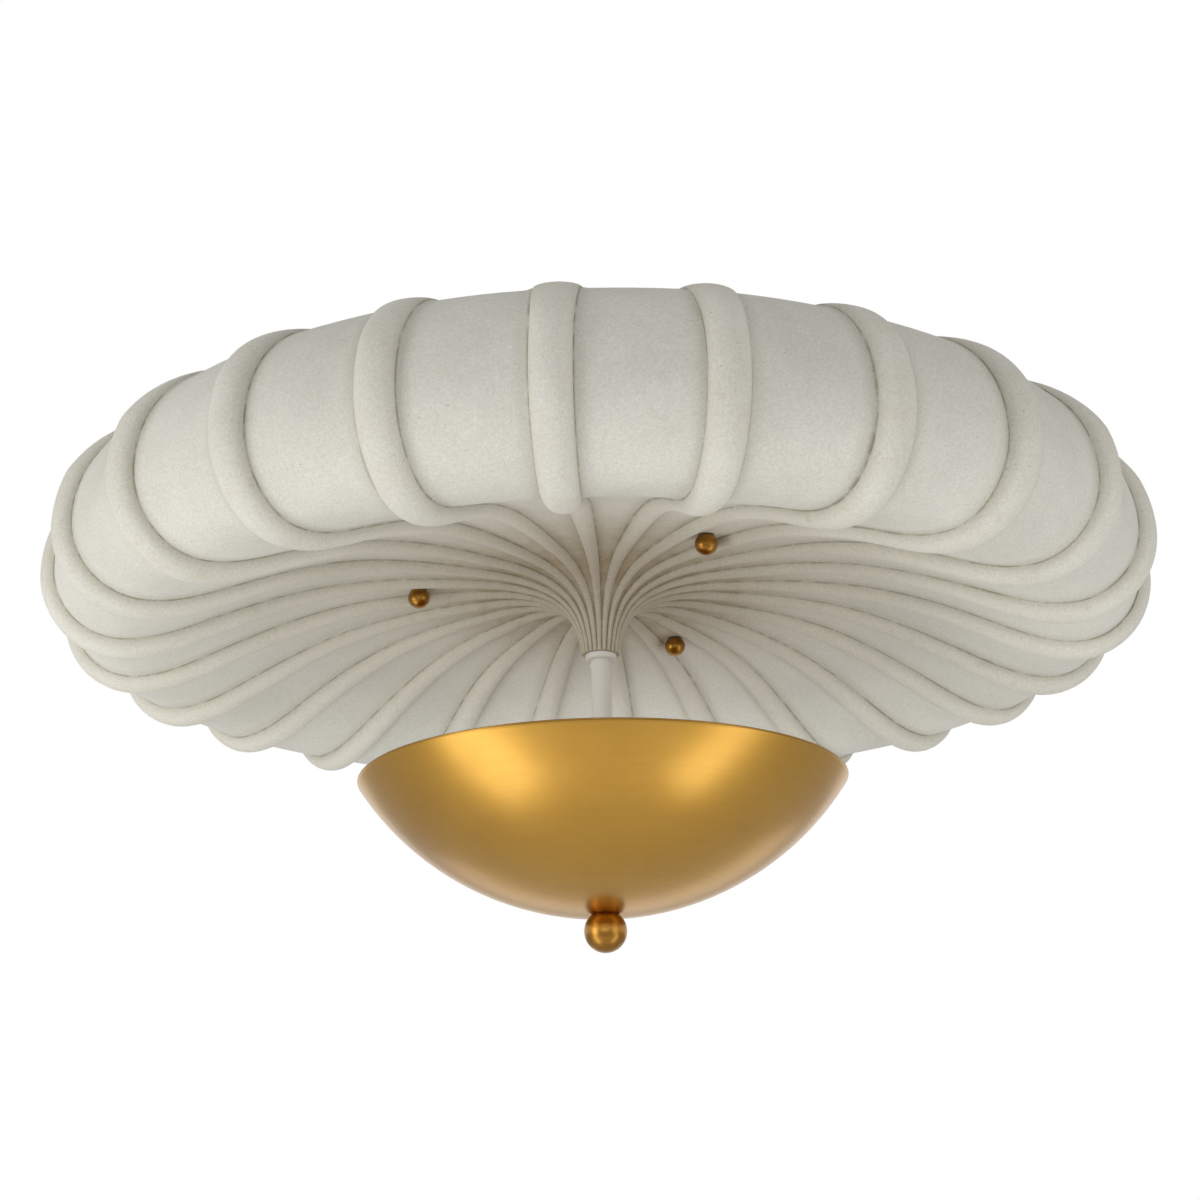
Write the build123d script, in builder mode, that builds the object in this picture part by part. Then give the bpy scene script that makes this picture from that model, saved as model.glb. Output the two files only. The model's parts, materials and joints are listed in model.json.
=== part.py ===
from build123d import *
from math import cos, pi, radians, sin, sqrt, tan
import os

# Flush mount ceiling light with a cast, ribbed shade and an open brass bowl below it.
# Millimetres, +Z up. The origin is the centre of the face that meets the ceiling,
# so everything hangs in -Z. The front of the light faces -Y, and one rib points there.

os.makedirs("parts", exist_ok=True)

# Ceiling plate
plate_radius = 130.0
plate_thickness = 2.0
plate_rim_depth = 14.0
box_screw_spacing = 88.9
box_slot_width = 5.2
box_slot_length = 14.0
anchor_spacing = 120.0
anchor_hole_radius = 2.75
wire_hole_radius = 11.0
wire_bush_bore = 6.0
earth_screw_offset = 62.0
earth_screw_radius = 2.0
earth_head_radius = 4.0
earth_head_height = 2.6

# Hub under the plate that carries the hollow centre rod
hub_flange_radius = 24.0
hub_flange_thickness = 4.0
hub_boss_radius = 11.0
hub_boss_depth = 14.0
hub_screw_count = 3
hub_screw_circle = 17.5
hub_screw_radius = 2.0
hub_head_radius = 3.6
hub_head_height = 2.4
rod_radius = 4.9
rod_bore_radius = 3.2
rod_grip = 18.0

# Cast shade: outer skin between its ribs
shade_top_gap = 2.0
wall_radius = 345.5
shoulder_radius = 270.0
shoulder_rim_width = 11.0
lip_radius = 303.0
widest_depth = 78.0
lip_depth = 122.0
crown_radius = 80.0
crown_depth = 71.0
valley_outer_radius = 250.0
valley_outer_depth = 106.3
valley_inner_radius = 178.0
valley_inner_depth = 80.2
funnel_radius = 46.0
funnel_depth = 74.4
throat_radius = 22.0
throat_depth = 87.2
tip_radius = 11.2
tip_depth = 116.6
tip_bore_radius = 6.2
tip_lean = 0.1
shade_wall = 10.5
crown_wall = 9.0

# Ribs: half widths and heights above the skin
rib_count = 24
rib_top_half_width = 13.0
rib_top_height = 1.2
rib_wall_half_width = 11.2
rib_wall_height = 9.6
rib_lip_half_width = 10.6
rib_tip_height = 1.15
rib_tip_gap = 0.5
full_size_share = 0.75
rib_growth = 1.5

# How many sections the rib's loft takes on each span of its path, and where it ends
roof_sections = 6
wall_sections = 4
valley_sections = 8
trumpet_sections = 6
rib_end_share = 0.98

# Studs and ball nuts that hold the shade
stud_count = 3
stud_circle_radius = 118.0
stud_first_angle = 37.5
stud_radius = 2.5
stud_hole_clearance = 1.0
stud_nut_width = 8.0
stud_nut_height = 4.0
ball_nut_radius = 7.1
ball_nut_neck = 4.9
ball_nut_bore_depth = 10.0
stud_end_gap = 1.0
seat_radius = 7.7
seat_depth = 72.2
washer_radius = 4.9
washer_bore_radius = 2.7
washer_thickness = 0.7
thread_clearance = 0.05
seat_gap = 0.1

# Collar and stem
collar_radius = 10.1
collar_height = 4.2
collar_edge = 2.2
collar_recess = 1.0
collar_gap = 0.3
stem_radius = 6.4
stem_wall = 1.4
set_screw_drop = 3.4
set_screw_radius = 1.5
set_screw_stand = 0.8

# Lamp cluster inside the bowl
cluster_top_depth = 244.0
cluster_height = 26.0
cluster_base_radius = 25.0
cluster_wall = 2.5
socket_count = 3
socket_tilt = 22.0
socket_first_angle = 90.0
stem_nipple_grip = 14.0
stem_nut_width = 14.0
stem_nut_height = 3.5
nipple_past_nut = 0.5
port_nut_width = 12.0
port_nut_height = 2.5
port_nut_standoff = 1.6
port_nipple_grip = 7.0
lid_thickness = 1.5
lid_lug_circle = 16.6
lid_lug_radius = 3.1
lid_lug_height = 8.0
lid_screw_radius = 1.5
lid_head_radius = 2.7
lid_head_height = 1.7

# Candelabra sockets and bulbs, measured along each socket's own axis
socket_length = 34.0
socket_radius = 12.0
socket_cup_wall = 1.5
socket_floor = 2.0
liner_floor = 6.0
shell_radius = 6.6
shell_wall = 0.5
shell_length = 20.0
contact_radius = 2.6
contact_height = 1.3
contact_gap = 0.1
cap_radius = 5.85
cap_wall = 0.45
cap_length = 19.5
cap_tip_radius = 2.2
cap_tip_height = 2.6
cap_skirt_radius = 3.6
bulb_length = 66.0
bulb_radius = 17.5
bulb_neck_radius = 5.2
bulb_neck_depth = 4.0
bulb_wall = 0.8
bulb_waist_share = 0.42
bulb_tip_radius = 2.5
bulb_neck_flare = 0.15
filament_radius = 1.9
filament_stem_length = 24.0
filament_rod_radius = 0.8
filament_rod_length = 26.0
filament_rod_circle = 3.2
filament_count = 4

# Bowl and what holds it
bowl_radius = 155.0
bowl_depth = 83.0
bowl_rim_depth = 203.2
bowl_wall = 1.2
bowl_hole_clearance = 0.6
bowl_flat_margin = 2.0
finial_stud_radius = 3.0
finial_stud_rise = 7.0
finial_nut_width = 10.0
finial_nut_height = 3.5
stop_radius = 9.0
gasket_thickness = 0.8
finial_radius = 13.4
finial_flat = 10.4
finial_bore_depth = 12.0
fit_gap = 0.05

# Levels worked out from the sizes above
plate_bottom = -plate_thickness
hub_flange_bottom = plate_bottom - hub_flange_thickness
hub_boss_bottom = hub_flange_bottom - hub_boss_depth
shade_top = -shade_top_gap
widest_z = -widest_depth
lip_z = -lip_depth
tip_z = -tip_depth
collar_top = tip_z - collar_gap
collar_bottom = collar_top - collar_height
stem_top = collar_bottom + collar_recess
cluster_top = -cluster_top_depth
cluster_bottom = cluster_top - cluster_height
lid_bottom = cluster_bottom - lid_thickness
rim_z = -bowl_rim_depth
bowl_sphere = (bowl_radius**2 + bowl_depth**2) / (2 * bowl_depth)
bowl_centre_z = rim_z - bowl_depth + bowl_sphere
bowl_flat_radius = finial_flat + bowl_flat_margin
bowl_bottom = bowl_centre_z - sqrt(bowl_sphere**2 - bowl_flat_radius**2)
bowl_floor = bowl_bottom + bowl_wall
gasket_top = bowl_floor + gasket_thickness
finial_top = bowl_bottom - seat_gap
finial_centre_z = finial_top - finial_flat
finial_stud_bottom = finial_top - finial_bore_depth + stud_end_gap
nut_seat_z = -seat_depth
washer_bottom = nut_seat_z - washer_thickness
ball_nut_top = washer_bottom - seat_gap
ball_nut_centre_z = ball_nut_top - ball_nut_neck
stud_bottom = ball_nut_top - ball_nut_bore_depth + stud_end_gap


def turn_outline(points, plane=Plane.XZ):
    """Turn a closed outline of (radius, height) points about the vertical of its plane."""
    with BuildSketch(plane) as outline:
        with BuildLine():
            Polyline(*points, close=True)
        make_face()
    revolve(outline.sketch, axis=Axis(plane.origin, plane.y_dir))


def turn_disc(radius, bore, top, bottom):
    """Turn a plain ring, or a solid disc where bore is 0, about the light's own axis."""
    turn_outline([(bore, top), (radius, top), (radius, bottom), (bore, bottom)])


def around(count, circle, first_angle):
    """Points evenly spaced on a circle, counted from the front and towards +X."""
    angles = [radians(first_angle + 360.0 * i / count) for i in range(count)]
    return [(circle * sin(angle), -circle * cos(angle)) for angle in angles]


# Ceiling plate, dished at its rim, with the usual slots and anchor holes
stud_points = around(stud_count, stud_circle_radius, stud_first_angle)
hub_screw_points = around(hub_screw_count, hub_screw_circle, 0.0)
with BuildPart() as mounting_plate:
    turn_outline(
        [
            (0, 0),
            (plate_radius, 0),
            (plate_radius, -plate_rim_depth),
            (plate_radius - plate_thickness, -plate_rim_depth),
            (plate_radius - plate_thickness, plate_bottom),
            (0, plate_bottom),
        ]
    )
    with BuildSketch(Plane.XY):
        Circle(wire_hole_radius)
        with GridLocations(box_screw_spacing, 0, 2, 1):
            SlotOverall(box_slot_length, box_slot_width)
        with GridLocations(anchor_spacing, anchor_spacing, 2, 2):
            Circle(anchor_hole_radius)
        with Locations(*stud_points):
            Circle(stud_radius + fit_gap)
        with Locations(*hub_screw_points):
            Circle(hub_screw_radius + fit_gap)
        with Locations((0, earth_screw_offset)):
            Circle(earth_screw_radius + fit_gap)
    extrude(amount=-plate_thickness, mode=Mode.SUBTRACT)
mounting_plate.part.label = "mounting_plate"
export_step(mounting_plate.part, "parts/mounting_plate.step")

with BuildPart() as wire_bush:
    turn_disc(wire_hole_radius - fit_gap, wire_bush_bore, 0, plate_bottom)
wire_bush.part.label = "wire_bush"
export_step(wire_bush.part, "parts/wire_bush.step")

with BuildPart() as earth_screw:
    with BuildSketch(Plane.XY.offset(plate_bottom)):
        with Locations((0, earth_screw_offset)):
            Circle(earth_head_radius)
    extrude(amount=-earth_head_height)
    with BuildSketch(Plane.XY.offset(plate_bottom)):
        with Locations((0, earth_screw_offset)):
            Circle(earth_screw_radius)
    extrude(amount=plate_thickness)
    with BuildSketch(Plane.XY.offset(plate_bottom - earth_head_height)):
        with Locations((0, earth_screw_offset)):
            Rectangle(2 * earth_head_radius, earth_screw_radius / 2)
    extrude(amount=earth_head_height / 2, mode=Mode.SUBTRACT)
earth_screw.part.label = "earth_screw"
export_step(earth_screw.part, "parts/earth_screw.step")

# Threaded studs through the plate and the lock nuts that hold them
with BuildPart() as plate_studs:
    with BuildSketch(Plane.XY):
        with Locations(*stud_points):
            Circle(stud_radius)
    extrude(amount=stud_bottom)
plate_studs.part.label = "plate_studs"
export_step(plate_studs.part, "parts/plate_studs.step")

with BuildPart() as stud_lock_nuts:
    with BuildSketch(Plane.XY.offset(plate_bottom)):
        with Locations(*stud_points):
            RegularPolygon(stud_nut_width / 2, 6, major_radius=False)
            Circle(stud_radius + fit_gap, mode=Mode.SUBTRACT)
    extrude(amount=-stud_nut_height)
stud_lock_nuts.part.label = "stud_lock_nuts"
export_step(stud_lock_nuts.part, "parts/stud_lock_nuts.step")

# Hub, its screws and the hollow rod that carries the stem and the bowl
with BuildPart() as hub_flange:
    turn_outline(
        [
            (rod_radius + fit_gap, plate_bottom),
            (hub_flange_radius, plate_bottom),
            (hub_flange_radius, hub_flange_bottom),
            (hub_boss_radius, hub_flange_bottom),
            (hub_boss_radius, hub_boss_bottom),
            (rod_radius + fit_gap, hub_boss_bottom),
        ]
    )
    with BuildSketch(Plane.XY.offset(plate_bottom)):
        with Locations(*hub_screw_points):
            Circle(hub_screw_radius + fit_gap)
    extrude(amount=-hub_flange_thickness, mode=Mode.SUBTRACT)
hub_flange.part.label = "hub_flange"
export_step(hub_flange.part, "parts/hub_flange.step")

with BuildPart() as hub_screws:
    with BuildSketch(Plane.XY):
        with Locations(*hub_screw_points):
            Circle(hub_screw_radius)
    extrude(amount=hub_flange_bottom)
    with BuildSketch(Plane.XY.offset(hub_flange_bottom)):
        with Locations(*hub_screw_points):
            Circle(hub_head_radius)
    extrude(amount=-hub_head_height)
hub_screws.part.label = "hub_screws"
export_step(hub_screws.part, "parts/hub_screws.step")

with BuildPart() as centre_rod:
    turn_disc(rod_radius, rod_bore_radius, plate_bottom, stem_top - rod_grip)
centre_rod.part.label = "centre_rod"
export_step(centre_rod.part, "parts/centre_rod.step")


# Shade: a turned shell, then ribs laid on its skin from the shoulder to the tip
def shade_roll(inset):
    """Draw the outer roll, from the shoulder over the widest point to the lip."""
    return [
        EllipticalCenterArc(
            (shoulder_radius, widest_z),
            wall_radius - shoulder_radius - inset,
            shade_top - widest_z - inset,
            90,
            arc_size=-90,
        ),
        EllipticalCenterArc(
            (lip_radius, widest_z),
            wall_radius - lip_radius - inset,
            widest_z - lip_z - inset,
            0,
            arc_size=-90,
        ),
    ]


def shade_valley(rise_at_lip, rise_at_crown):
    """Draw the hollow underside, from the lip in to the crown, raised by a wall."""
    rise_between = (rise_at_lip + rise_at_crown) / 2
    return Spline(
        (lip_radius, lip_z + rise_at_lip),
        (valley_outer_radius, -valley_outer_depth + rise_between),
        (valley_inner_radius, -valley_inner_depth + rise_at_crown),
        (crown_radius, -crown_depth + rise_at_crown),
        tangents=[(-1, 0), (-1, 0)],
    )


def shade_funnel():
    """Draw the trumpet, from the crown down to the tip."""
    return Spline(
        (crown_radius, -crown_depth),
        (funnel_radius, -funnel_depth),
        (throat_radius, -throat_depth),
        (tip_radius, tip_z),
        tangents=[(-1, 0), (-tip_lean, -1)],
    )


with BuildLine(Plane.XZ) as rib_path:
    rib_spans = shade_roll(0) + [shade_valley(0, 0), shade_funnel()]

rib_tip_half_width = pi * tip_radius / rib_count - rib_tip_gap / 2
span_sections = [roof_sections, wall_sections, valley_sections, trumpet_sections]
rib_stops = [(span, i / count) for span, count in enumerate(span_sections) for i in range(count)]
rib_stops.append((len(rib_spans) - 1, rib_end_share))


def rib_size(span, share, radius):
    """Half width and height of a rib: full on the wall, low at the top, fine at the tip."""
    if span == 0:
        down = min(1.0, share / full_size_share) ** rib_growth
        half_width = rib_top_half_width + (rib_wall_half_width - rib_top_half_width) * down
        return half_width, rib_top_height + (rib_wall_height - rib_top_height) * down
    if span == 1:
        half_width = rib_wall_half_width + (rib_lip_half_width - rib_wall_half_width) * share
        return half_width, rib_wall_height
    inward = (radius - tip_radius) / (lip_radius - tip_radius)
    half_width = rib_tip_half_width + (rib_lip_half_width - rib_tip_half_width) * inward
    return half_width, rib_tip_height + (rib_wall_height - rib_tip_height) * inward


with BuildPart() as rib:
    for span, share in rib_stops:
        place = rib_spans[span].position_at(share)
        heading = rib_spans[span].tangent_at(share)
        with BuildSketch(Plane(place, x_dir=(0, 1, 0), z_dir=heading)):
            Ellipse(*rib_size(span, share, place.X))
    loft()

with BuildPart() as shade:
    with BuildSketch(Plane.XZ):
        with BuildLine():
            shade_roll(0)
            shade_valley(0, 0)
            shade_funnel()
            Polyline(
                (tip_radius, tip_z),
                (tip_bore_radius, tip_z),
                (tip_bore_radius, -throat_depth),
                (throat_radius, -funnel_depth),
                (crown_radius, crown_wall - crown_depth),
            )
            shade_valley(shade_wall, crown_wall)
            shade_roll(shade_wall)
            Polyline(
                (shoulder_radius, shade_top - shade_wall),
                (shoulder_radius - shoulder_rim_width, shade_top - shade_wall),
                (shoulder_radius - shoulder_rim_width, shade_top),
                (shoulder_radius, shade_top),
            )
        make_face()
    revolve(axis=Axis.Z)
    with BuildSketch(Plane.XY.offset(nut_seat_z)):
        with Locations(*stud_points):
            Circle(seat_radius)
    extrude(amount=-seat_radius, mode=Mode.SUBTRACT)
    with BuildSketch(Plane.XY):
        with Locations(*stud_points):
            Circle(stud_radius + stud_hole_clearance)
    extrude(amount=stud_bottom, mode=Mode.SUBTRACT)
    with PolarLocations(0, rib_count, start_angle=-90):
        add(rib.part)
shade.part.label = "shade"
export_step(shade.part, "parts/shade.step")

# Ball nuts and the fibre washers under them
for number, (stud_x, stud_y) in enumerate(stud_points, start=1):
    stud_plane = Plane((stud_x, stud_y, 0), x_dir=(1, 0, 0), z_dir=(0, -1, 0))
    with BuildPart() as nut_washer:
        with BuildSketch(Plane.XY.offset(nut_seat_z)):
            with Locations((stud_x, stud_y)):
                Circle(washer_radius)
                Circle(washer_bore_radius, mode=Mode.SUBTRACT)
        extrude(amount=-washer_thickness)
    nut_washer.part.label = f"nut_washer_{number}"
    export_step(nut_washer.part, f"parts/nut_washer_{number}.step")

    ball_flat_radius = sqrt(ball_nut_radius**2 - ball_nut_neck**2)
    bore_floor = ball_nut_top - ball_nut_bore_depth
    ball_bottom = ball_nut_centre_z - ball_nut_radius
    with BuildPart() as ball_nut:
        with BuildSketch(stud_plane):
            with BuildLine():
                Polyline(
                    (0, ball_bottom),
                    (0, bore_floor),
                    (stud_radius + thread_clearance, bore_floor),
                    (stud_radius + thread_clearance, ball_nut_top),
                    (ball_flat_radius, ball_nut_top),
                )
                ThreePointArc(
                    (ball_flat_radius, ball_nut_top),
                    (ball_nut_radius, ball_nut_centre_z),
                    (0, ball_bottom),
                )
            make_face()
        revolve(axis=Axis((stud_x, stud_y, 0), (0, 0, 1)))
    ball_nut.part.label = f"ball_nut_{number}"
    export_step(ball_nut.part, f"parts/ball_nut_{number}.step")

# Collar that closes the shade's tip, the painted stem and its set screw
with BuildPart() as stem_collar:
    turn_outline(
        [
            (rod_radius + 2 * fit_gap, collar_top),
            (collar_radius, collar_top),
            (collar_radius, collar_bottom),
            (stem_radius + fit_gap, collar_bottom),
            (stem_radius + fit_gap, stem_top),
            (rod_radius + 2 * fit_gap, stem_top),
        ]
    )
    lower_edges = stem_collar.edges().filter_by(GeomType.CIRCLE).group_by(Axis.Z)[0]
    fillet(lower_edges.sort_by(SortBy.RADIUS)[-1], radius=collar_edge)
stem_collar.part.label = "stem_collar"
export_step(stem_collar.part, "parts/stem_collar.step")

set_screw_z = collar_bottom - set_screw_drop
with BuildPart() as stem_tube:
    turn_disc(stem_radius, stem_radius - stem_wall, stem_top, cluster_top)
    with BuildSketch(Plane.YZ):
        with Locations((0, set_screw_z)):
            Circle(set_screw_radius + fit_gap)
    extrude(amount=-2 * stem_radius, mode=Mode.SUBTRACT)
stem_tube.part.label = "stem_tube"
export_step(stem_tube.part, "parts/stem_tube.step")

with BuildPart() as stem_set_screw:
    with BuildSketch(Plane.YZ.offset(-rod_radius - fit_gap)):
        with Locations((0, set_screw_z)):
            Circle(set_screw_radius)
    extrude(amount=-(stem_radius - rod_radius - fit_gap + set_screw_stand))
    with BuildSketch(Plane.YZ.offset(-stem_radius)):
        with Locations((0, set_screw_z)):
            RegularPolygon(set_screw_radius / 2, 6)
    extrude(amount=-set_screw_stand, mode=Mode.SUBTRACT)
stem_set_screw.part.label = "stem_set_screw"
export_step(stem_set_screw.part, "parts/stem_set_screw.step")

# Lamp cluster: a cone whose wall faces each socket square on
cluster_slope = tan(radians(socket_tilt))
cluster_top_radius = cluster_base_radius - cluster_height * cluster_slope
wall_across = cluster_wall / cos(radians(socket_tilt))
cluster_ceiling = cluster_top - cluster_wall
port_z = (cluster_top + cluster_bottom) / 2
port_radius = (cluster_top_radius + cluster_base_radius) / 2
ceiling_radius = cluster_top_radius + cluster_wall * cluster_slope - wall_across


def port_plane(number):
    """Plane on the cone's wall whose normal is the axis of that socket, out and up."""
    turn = radians(socket_first_angle + 360.0 * number / socket_count)
    lean = radians(socket_tilt)
    outward = Vector(cos(turn), sin(turn), 0)
    origin = outward * port_radius + Vector(0, 0, port_z)
    axis = outward * cos(lean) + Vector(0, 0, sin(lean))
    across = Vector(-sin(turn), cos(turn), 0)
    return Plane(origin, x_dir=across, z_dir=axis)


def section_plane(port):
    """Plane that holds a socket's axis as its own vertical, for turning profiles."""
    return Plane(port.origin, x_dir=port.x_dir, z_dir=-port.y_dir)


ports = [port_plane(number) for number in range(socket_count)]
lug_points = around(socket_count, lid_lug_circle, socket_first_angle + 90.0 + 180.0 / socket_count)

with BuildPart() as cluster_body:
    turn_outline(
        [
            (rod_radius + fit_gap, cluster_top),
            (cluster_top_radius, cluster_top),
            (cluster_base_radius, cluster_bottom),
            (cluster_base_radius - wall_across, cluster_bottom),
            (ceiling_radius, cluster_ceiling),
            (rod_radius + fit_gap, cluster_ceiling),
        ]
    )
    with BuildSketch(Plane.XY.offset(cluster_bottom)):
        with Locations(*lug_points):
            Circle(lid_lug_radius)
    extrude(amount=lid_lug_height)
    with BuildSketch(Plane.XY.offset(cluster_bottom)):
        with Locations(*lug_points):
            Circle(lid_screw_radius + fit_gap)
    extrude(amount=lid_lug_height, mode=Mode.SUBTRACT)
    for port in ports:
        with BuildSketch(port.offset(-2 * cluster_wall)):
            Circle(rod_radius + fit_gap)
        extrude(amount=4 * cluster_wall, mode=Mode.SUBTRACT)
cluster_body.part.label = "cluster_body"
export_step(cluster_body.part, "parts/cluster_body.step")

stem_nipple_bottom = cluster_ceiling - stem_nut_height - nipple_past_nut
with BuildPart() as stem_nipple:
    turn_disc(rod_radius, rod_bore_radius, cluster_top + stem_nipple_grip, stem_nipple_bottom)
stem_nipple.part.label = "stem_nipple"
export_step(stem_nipple.part, "parts/stem_nipple.step")

with BuildPart() as stem_nut:
    with BuildSketch(Plane.XY.offset(cluster_ceiling)):
        RegularPolygon(stem_nut_width / 2, 6, major_radius=False)
        Circle(rod_radius + fit_gap, mode=Mode.SUBTRACT)
    extrude(amount=-stem_nut_height)
stem_nut.part.label = "stem_nut"
export_step(stem_nut.part, "parts/stem_nut.step")

with BuildPart() as cluster_lid:
    turn_disc(cluster_base_radius, finial_stud_radius + fit_gap, cluster_bottom, lid_bottom)
    with BuildSketch(Plane.XY.offset(cluster_bottom)):
        with Locations(*lug_points):
            Circle(lid_screw_radius + fit_gap)
    extrude(amount=-lid_thickness, mode=Mode.SUBTRACT)
cluster_lid.part.label = "cluster_lid"
export_step(cluster_lid.part, "parts/cluster_lid.step")

with BuildPart() as lid_screws:
    with BuildSketch(Plane.XY.offset(lid_bottom)):
        with Locations(*lug_points):
            Circle(lid_screw_radius)
    extrude(amount=lid_thickness + lid_lug_height)
    with BuildSketch(Plane.XY.offset(lid_bottom)):
        with Locations(*lug_points):
            Circle(lid_head_radius)
    extrude(amount=-lid_head_height)
lid_screws.part.label = "lid_screws"
export_step(lid_screws.part, "parts/lid_screws.step")

# Hollow nipples and nuts that hold the sockets to the cone
with BuildPart() as port_nipples:
    for port in ports:
        with BuildSketch(port.offset(-port_nipple_grip)):
            Circle(rod_radius)
            Circle(rod_bore_radius, mode=Mode.SUBTRACT)
        extrude(amount=port_nipple_grip + socket_floor)
port_nipples.part.label = "port_nipples"
export_step(port_nipples.part, "parts/port_nipples.step")

with BuildPart() as port_nuts:
    for port in ports:
        with BuildSketch(port.offset(-cluster_wall - port_nut_standoff)):
            RegularPolygon(port_nut_width / 2, 6, major_radius=False)
            Circle(rod_radius + fit_gap, mode=Mode.SUBTRACT)
        extrude(amount=-port_nut_height)
port_nuts.part.label = "port_nuts"
export_step(port_nuts.part, "parts/port_nuts.step")

# Sockets and bulbs, each level measured out from the cone's wall
cup_bore = socket_radius - socket_cup_wall
liner_bottom = socket_floor
liner_top = socket_length - socket_cup_wall
liner_floor_top = liner_bottom + liner_floor
shell_bottom = liner_floor_top + contact_height + 2 * shell_wall
shell_top = shell_bottom + shell_length
contact_top = liner_floor_top + contact_height
tip_bottom = contact_top + contact_gap
cap_bottom = tip_bottom + cap_tip_height
cap_top = cap_bottom + cap_length
glass_bottom = cap_top - bulb_neck_depth
waist_level = cap_top + bulb_length * bulb_waist_share
bulb_top = cap_top + bulb_length
filament_base = cap_bottom + cap_wall


def glass_side(inset):
    """Draw one side of the torpedo bulb, from its neck to its tip."""
    return Spline(
        (bulb_neck_radius - inset, cap_top),
        (bulb_radius - inset, waist_level),
        (bulb_tip_radius, bulb_top - bulb_tip_radius / 2 - inset),
        (0, bulb_top - inset),
        tangents=[(bulb_neck_flare, 1), (-1, 0)],
    )


for number, port in enumerate(ports, start=1):
    section = section_plane(port)
    with BuildPart() as socket_cup:
        turn_outline(
            [
                (rod_radius + fit_gap, 0),
                (socket_radius, 0),
                (socket_radius, socket_length),
                (cup_bore, socket_length),
                (cup_bore, socket_floor),
                (rod_radius + fit_gap, socket_floor),
            ],
            section,
        )
    socket_cup.part.label = f"socket_cup_{number}"
    export_step(socket_cup.part, f"parts/socket_cup_{number}.step")

    with BuildPart() as socket_liner:
        turn_outline(
            [
                (0, liner_bottom),
                (cup_bore - fit_gap, liner_bottom),
                (cup_bore - fit_gap, liner_top),
                (shell_radius + fit_gap, liner_top),
                (shell_radius + fit_gap, liner_floor_top),
                (0, liner_floor_top),
            ],
            section,
        )
    socket_liner.part.label = f"socket_liner_{number}"
    export_step(socket_liner.part, f"parts/socket_liner_{number}.step")

    with BuildPart() as socket_shell:
        turn_outline(
            [
                (contact_radius + 2 * shell_wall, shell_bottom),
                (shell_radius, shell_bottom),
                (shell_radius, shell_top),
                (shell_radius - shell_wall, shell_top),
                (shell_radius - shell_wall, shell_bottom + shell_wall),
                (contact_radius + 2 * shell_wall, shell_bottom + shell_wall),
            ],
            section,
        )
    socket_shell.part.label = f"socket_shell_{number}"
    export_step(socket_shell.part, f"parts/socket_shell_{number}.step")

    with BuildPart() as socket_contact:
        turn_outline(
            [
                (0, liner_floor_top),
                (contact_radius, liner_floor_top),
                (contact_radius / 2, contact_top),
                (0, contact_top),
            ],
            section,
        )
    socket_contact.part.label = f"socket_contact_{number}"
    export_step(socket_contact.part, f"parts/socket_contact_{number}.step")

    with BuildPart() as bulb_cap:
        turn_outline(
            [
                (0, tip_bottom),
                (cap_tip_radius, tip_bottom),
                (cap_skirt_radius, cap_bottom),
                (cap_radius, cap_bottom + cap_wall),
                (cap_radius, cap_top),
                (cap_radius - cap_wall, cap_top),
                (cap_radius - cap_wall, filament_base),
                (0, filament_base),
            ],
            section,
        )
    bulb_cap.part.label = f"bulb_cap_{number}"
    export_step(bulb_cap.part, f"parts/bulb_cap_{number}.step")

    with BuildPart() as bulb_glass:
        with BuildSketch(section):
            with BuildLine():
                Polyline(
                    (bulb_neck_radius - bulb_wall, cap_top),
                    (bulb_neck_radius - bulb_wall, glass_bottom),
                    (bulb_neck_radius, glass_bottom),
                    (bulb_neck_radius, cap_top),
                )
                glass_side(0)
                Line((0, bulb_top), (0, bulb_top - bulb_wall))
                glass_side(bulb_wall)
            make_face()
        revolve(axis=Axis(section.origin, section.y_dir))
    bulb_glass.part.label = f"bulb_glass_{number}"
    export_step(bulb_glass.part, f"parts/bulb_glass_{number}.step")

    filament_joint = filament_base + filament_stem_length
    with BuildPart() as bulb_filament:
        with BuildSketch(port.offset(filament_base)):
            Circle(filament_radius)
        extrude(amount=filament_stem_length)
        with BuildSketch(port.offset(filament_joint)):
            Circle(filament_rod_circle + 2 * filament_rod_radius)
        extrude(amount=filament_rod_radius)
        with BuildSketch(port.offset(filament_joint + filament_rod_radius)):
            with PolarLocations(filament_rod_circle, filament_count):
                Circle(filament_rod_radius)
        extrude(amount=filament_rod_length)
    bulb_filament.part.label = f"bulb_filament_{number}"
    export_step(bulb_filament.part, f"parts/bulb_filament_{number}.step")

# Stud, nut and stop that carry the bowl, its gasket, the bowl and the finial
with BuildPart() as finial_stud:
    turn_disc(finial_stud_radius, 0, cluster_bottom + finial_stud_rise, finial_stud_bottom)
finial_stud.part.label = "finial_stud"
export_step(finial_stud.part, "parts/finial_stud.step")

with BuildPart() as finial_stud_nut:
    with BuildSketch(Plane.XY.offset(cluster_bottom)):
        RegularPolygon(finial_nut_width / 2, 6, major_radius=False)
        Circle(finial_stud_radius + fit_gap, mode=Mode.SUBTRACT)
    extrude(amount=finial_nut_height)
finial_stud_nut.part.label = "finial_stud_nut"
export_step(finial_stud_nut.part, "parts/finial_stud_nut.step")

with BuildPart() as bowl_stop:
    turn_disc(stop_radius, finial_stud_radius + fit_gap, lid_bottom, gasket_top + seat_gap)
bowl_stop.part.label = "bowl_stop"
export_step(bowl_stop.part, "parts/bowl_stop.step")

bowl_hole_radius = finial_stud_radius + bowl_hole_clearance
with BuildPart() as bowl_gasket:
    turn_disc(stop_radius + gasket_thickness, bowl_hole_radius, gasket_top, bowl_floor)
bowl_gasket.part.label = "bowl_gasket"
export_step(bowl_gasket.part, "parts/bowl_gasket.step")

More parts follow.
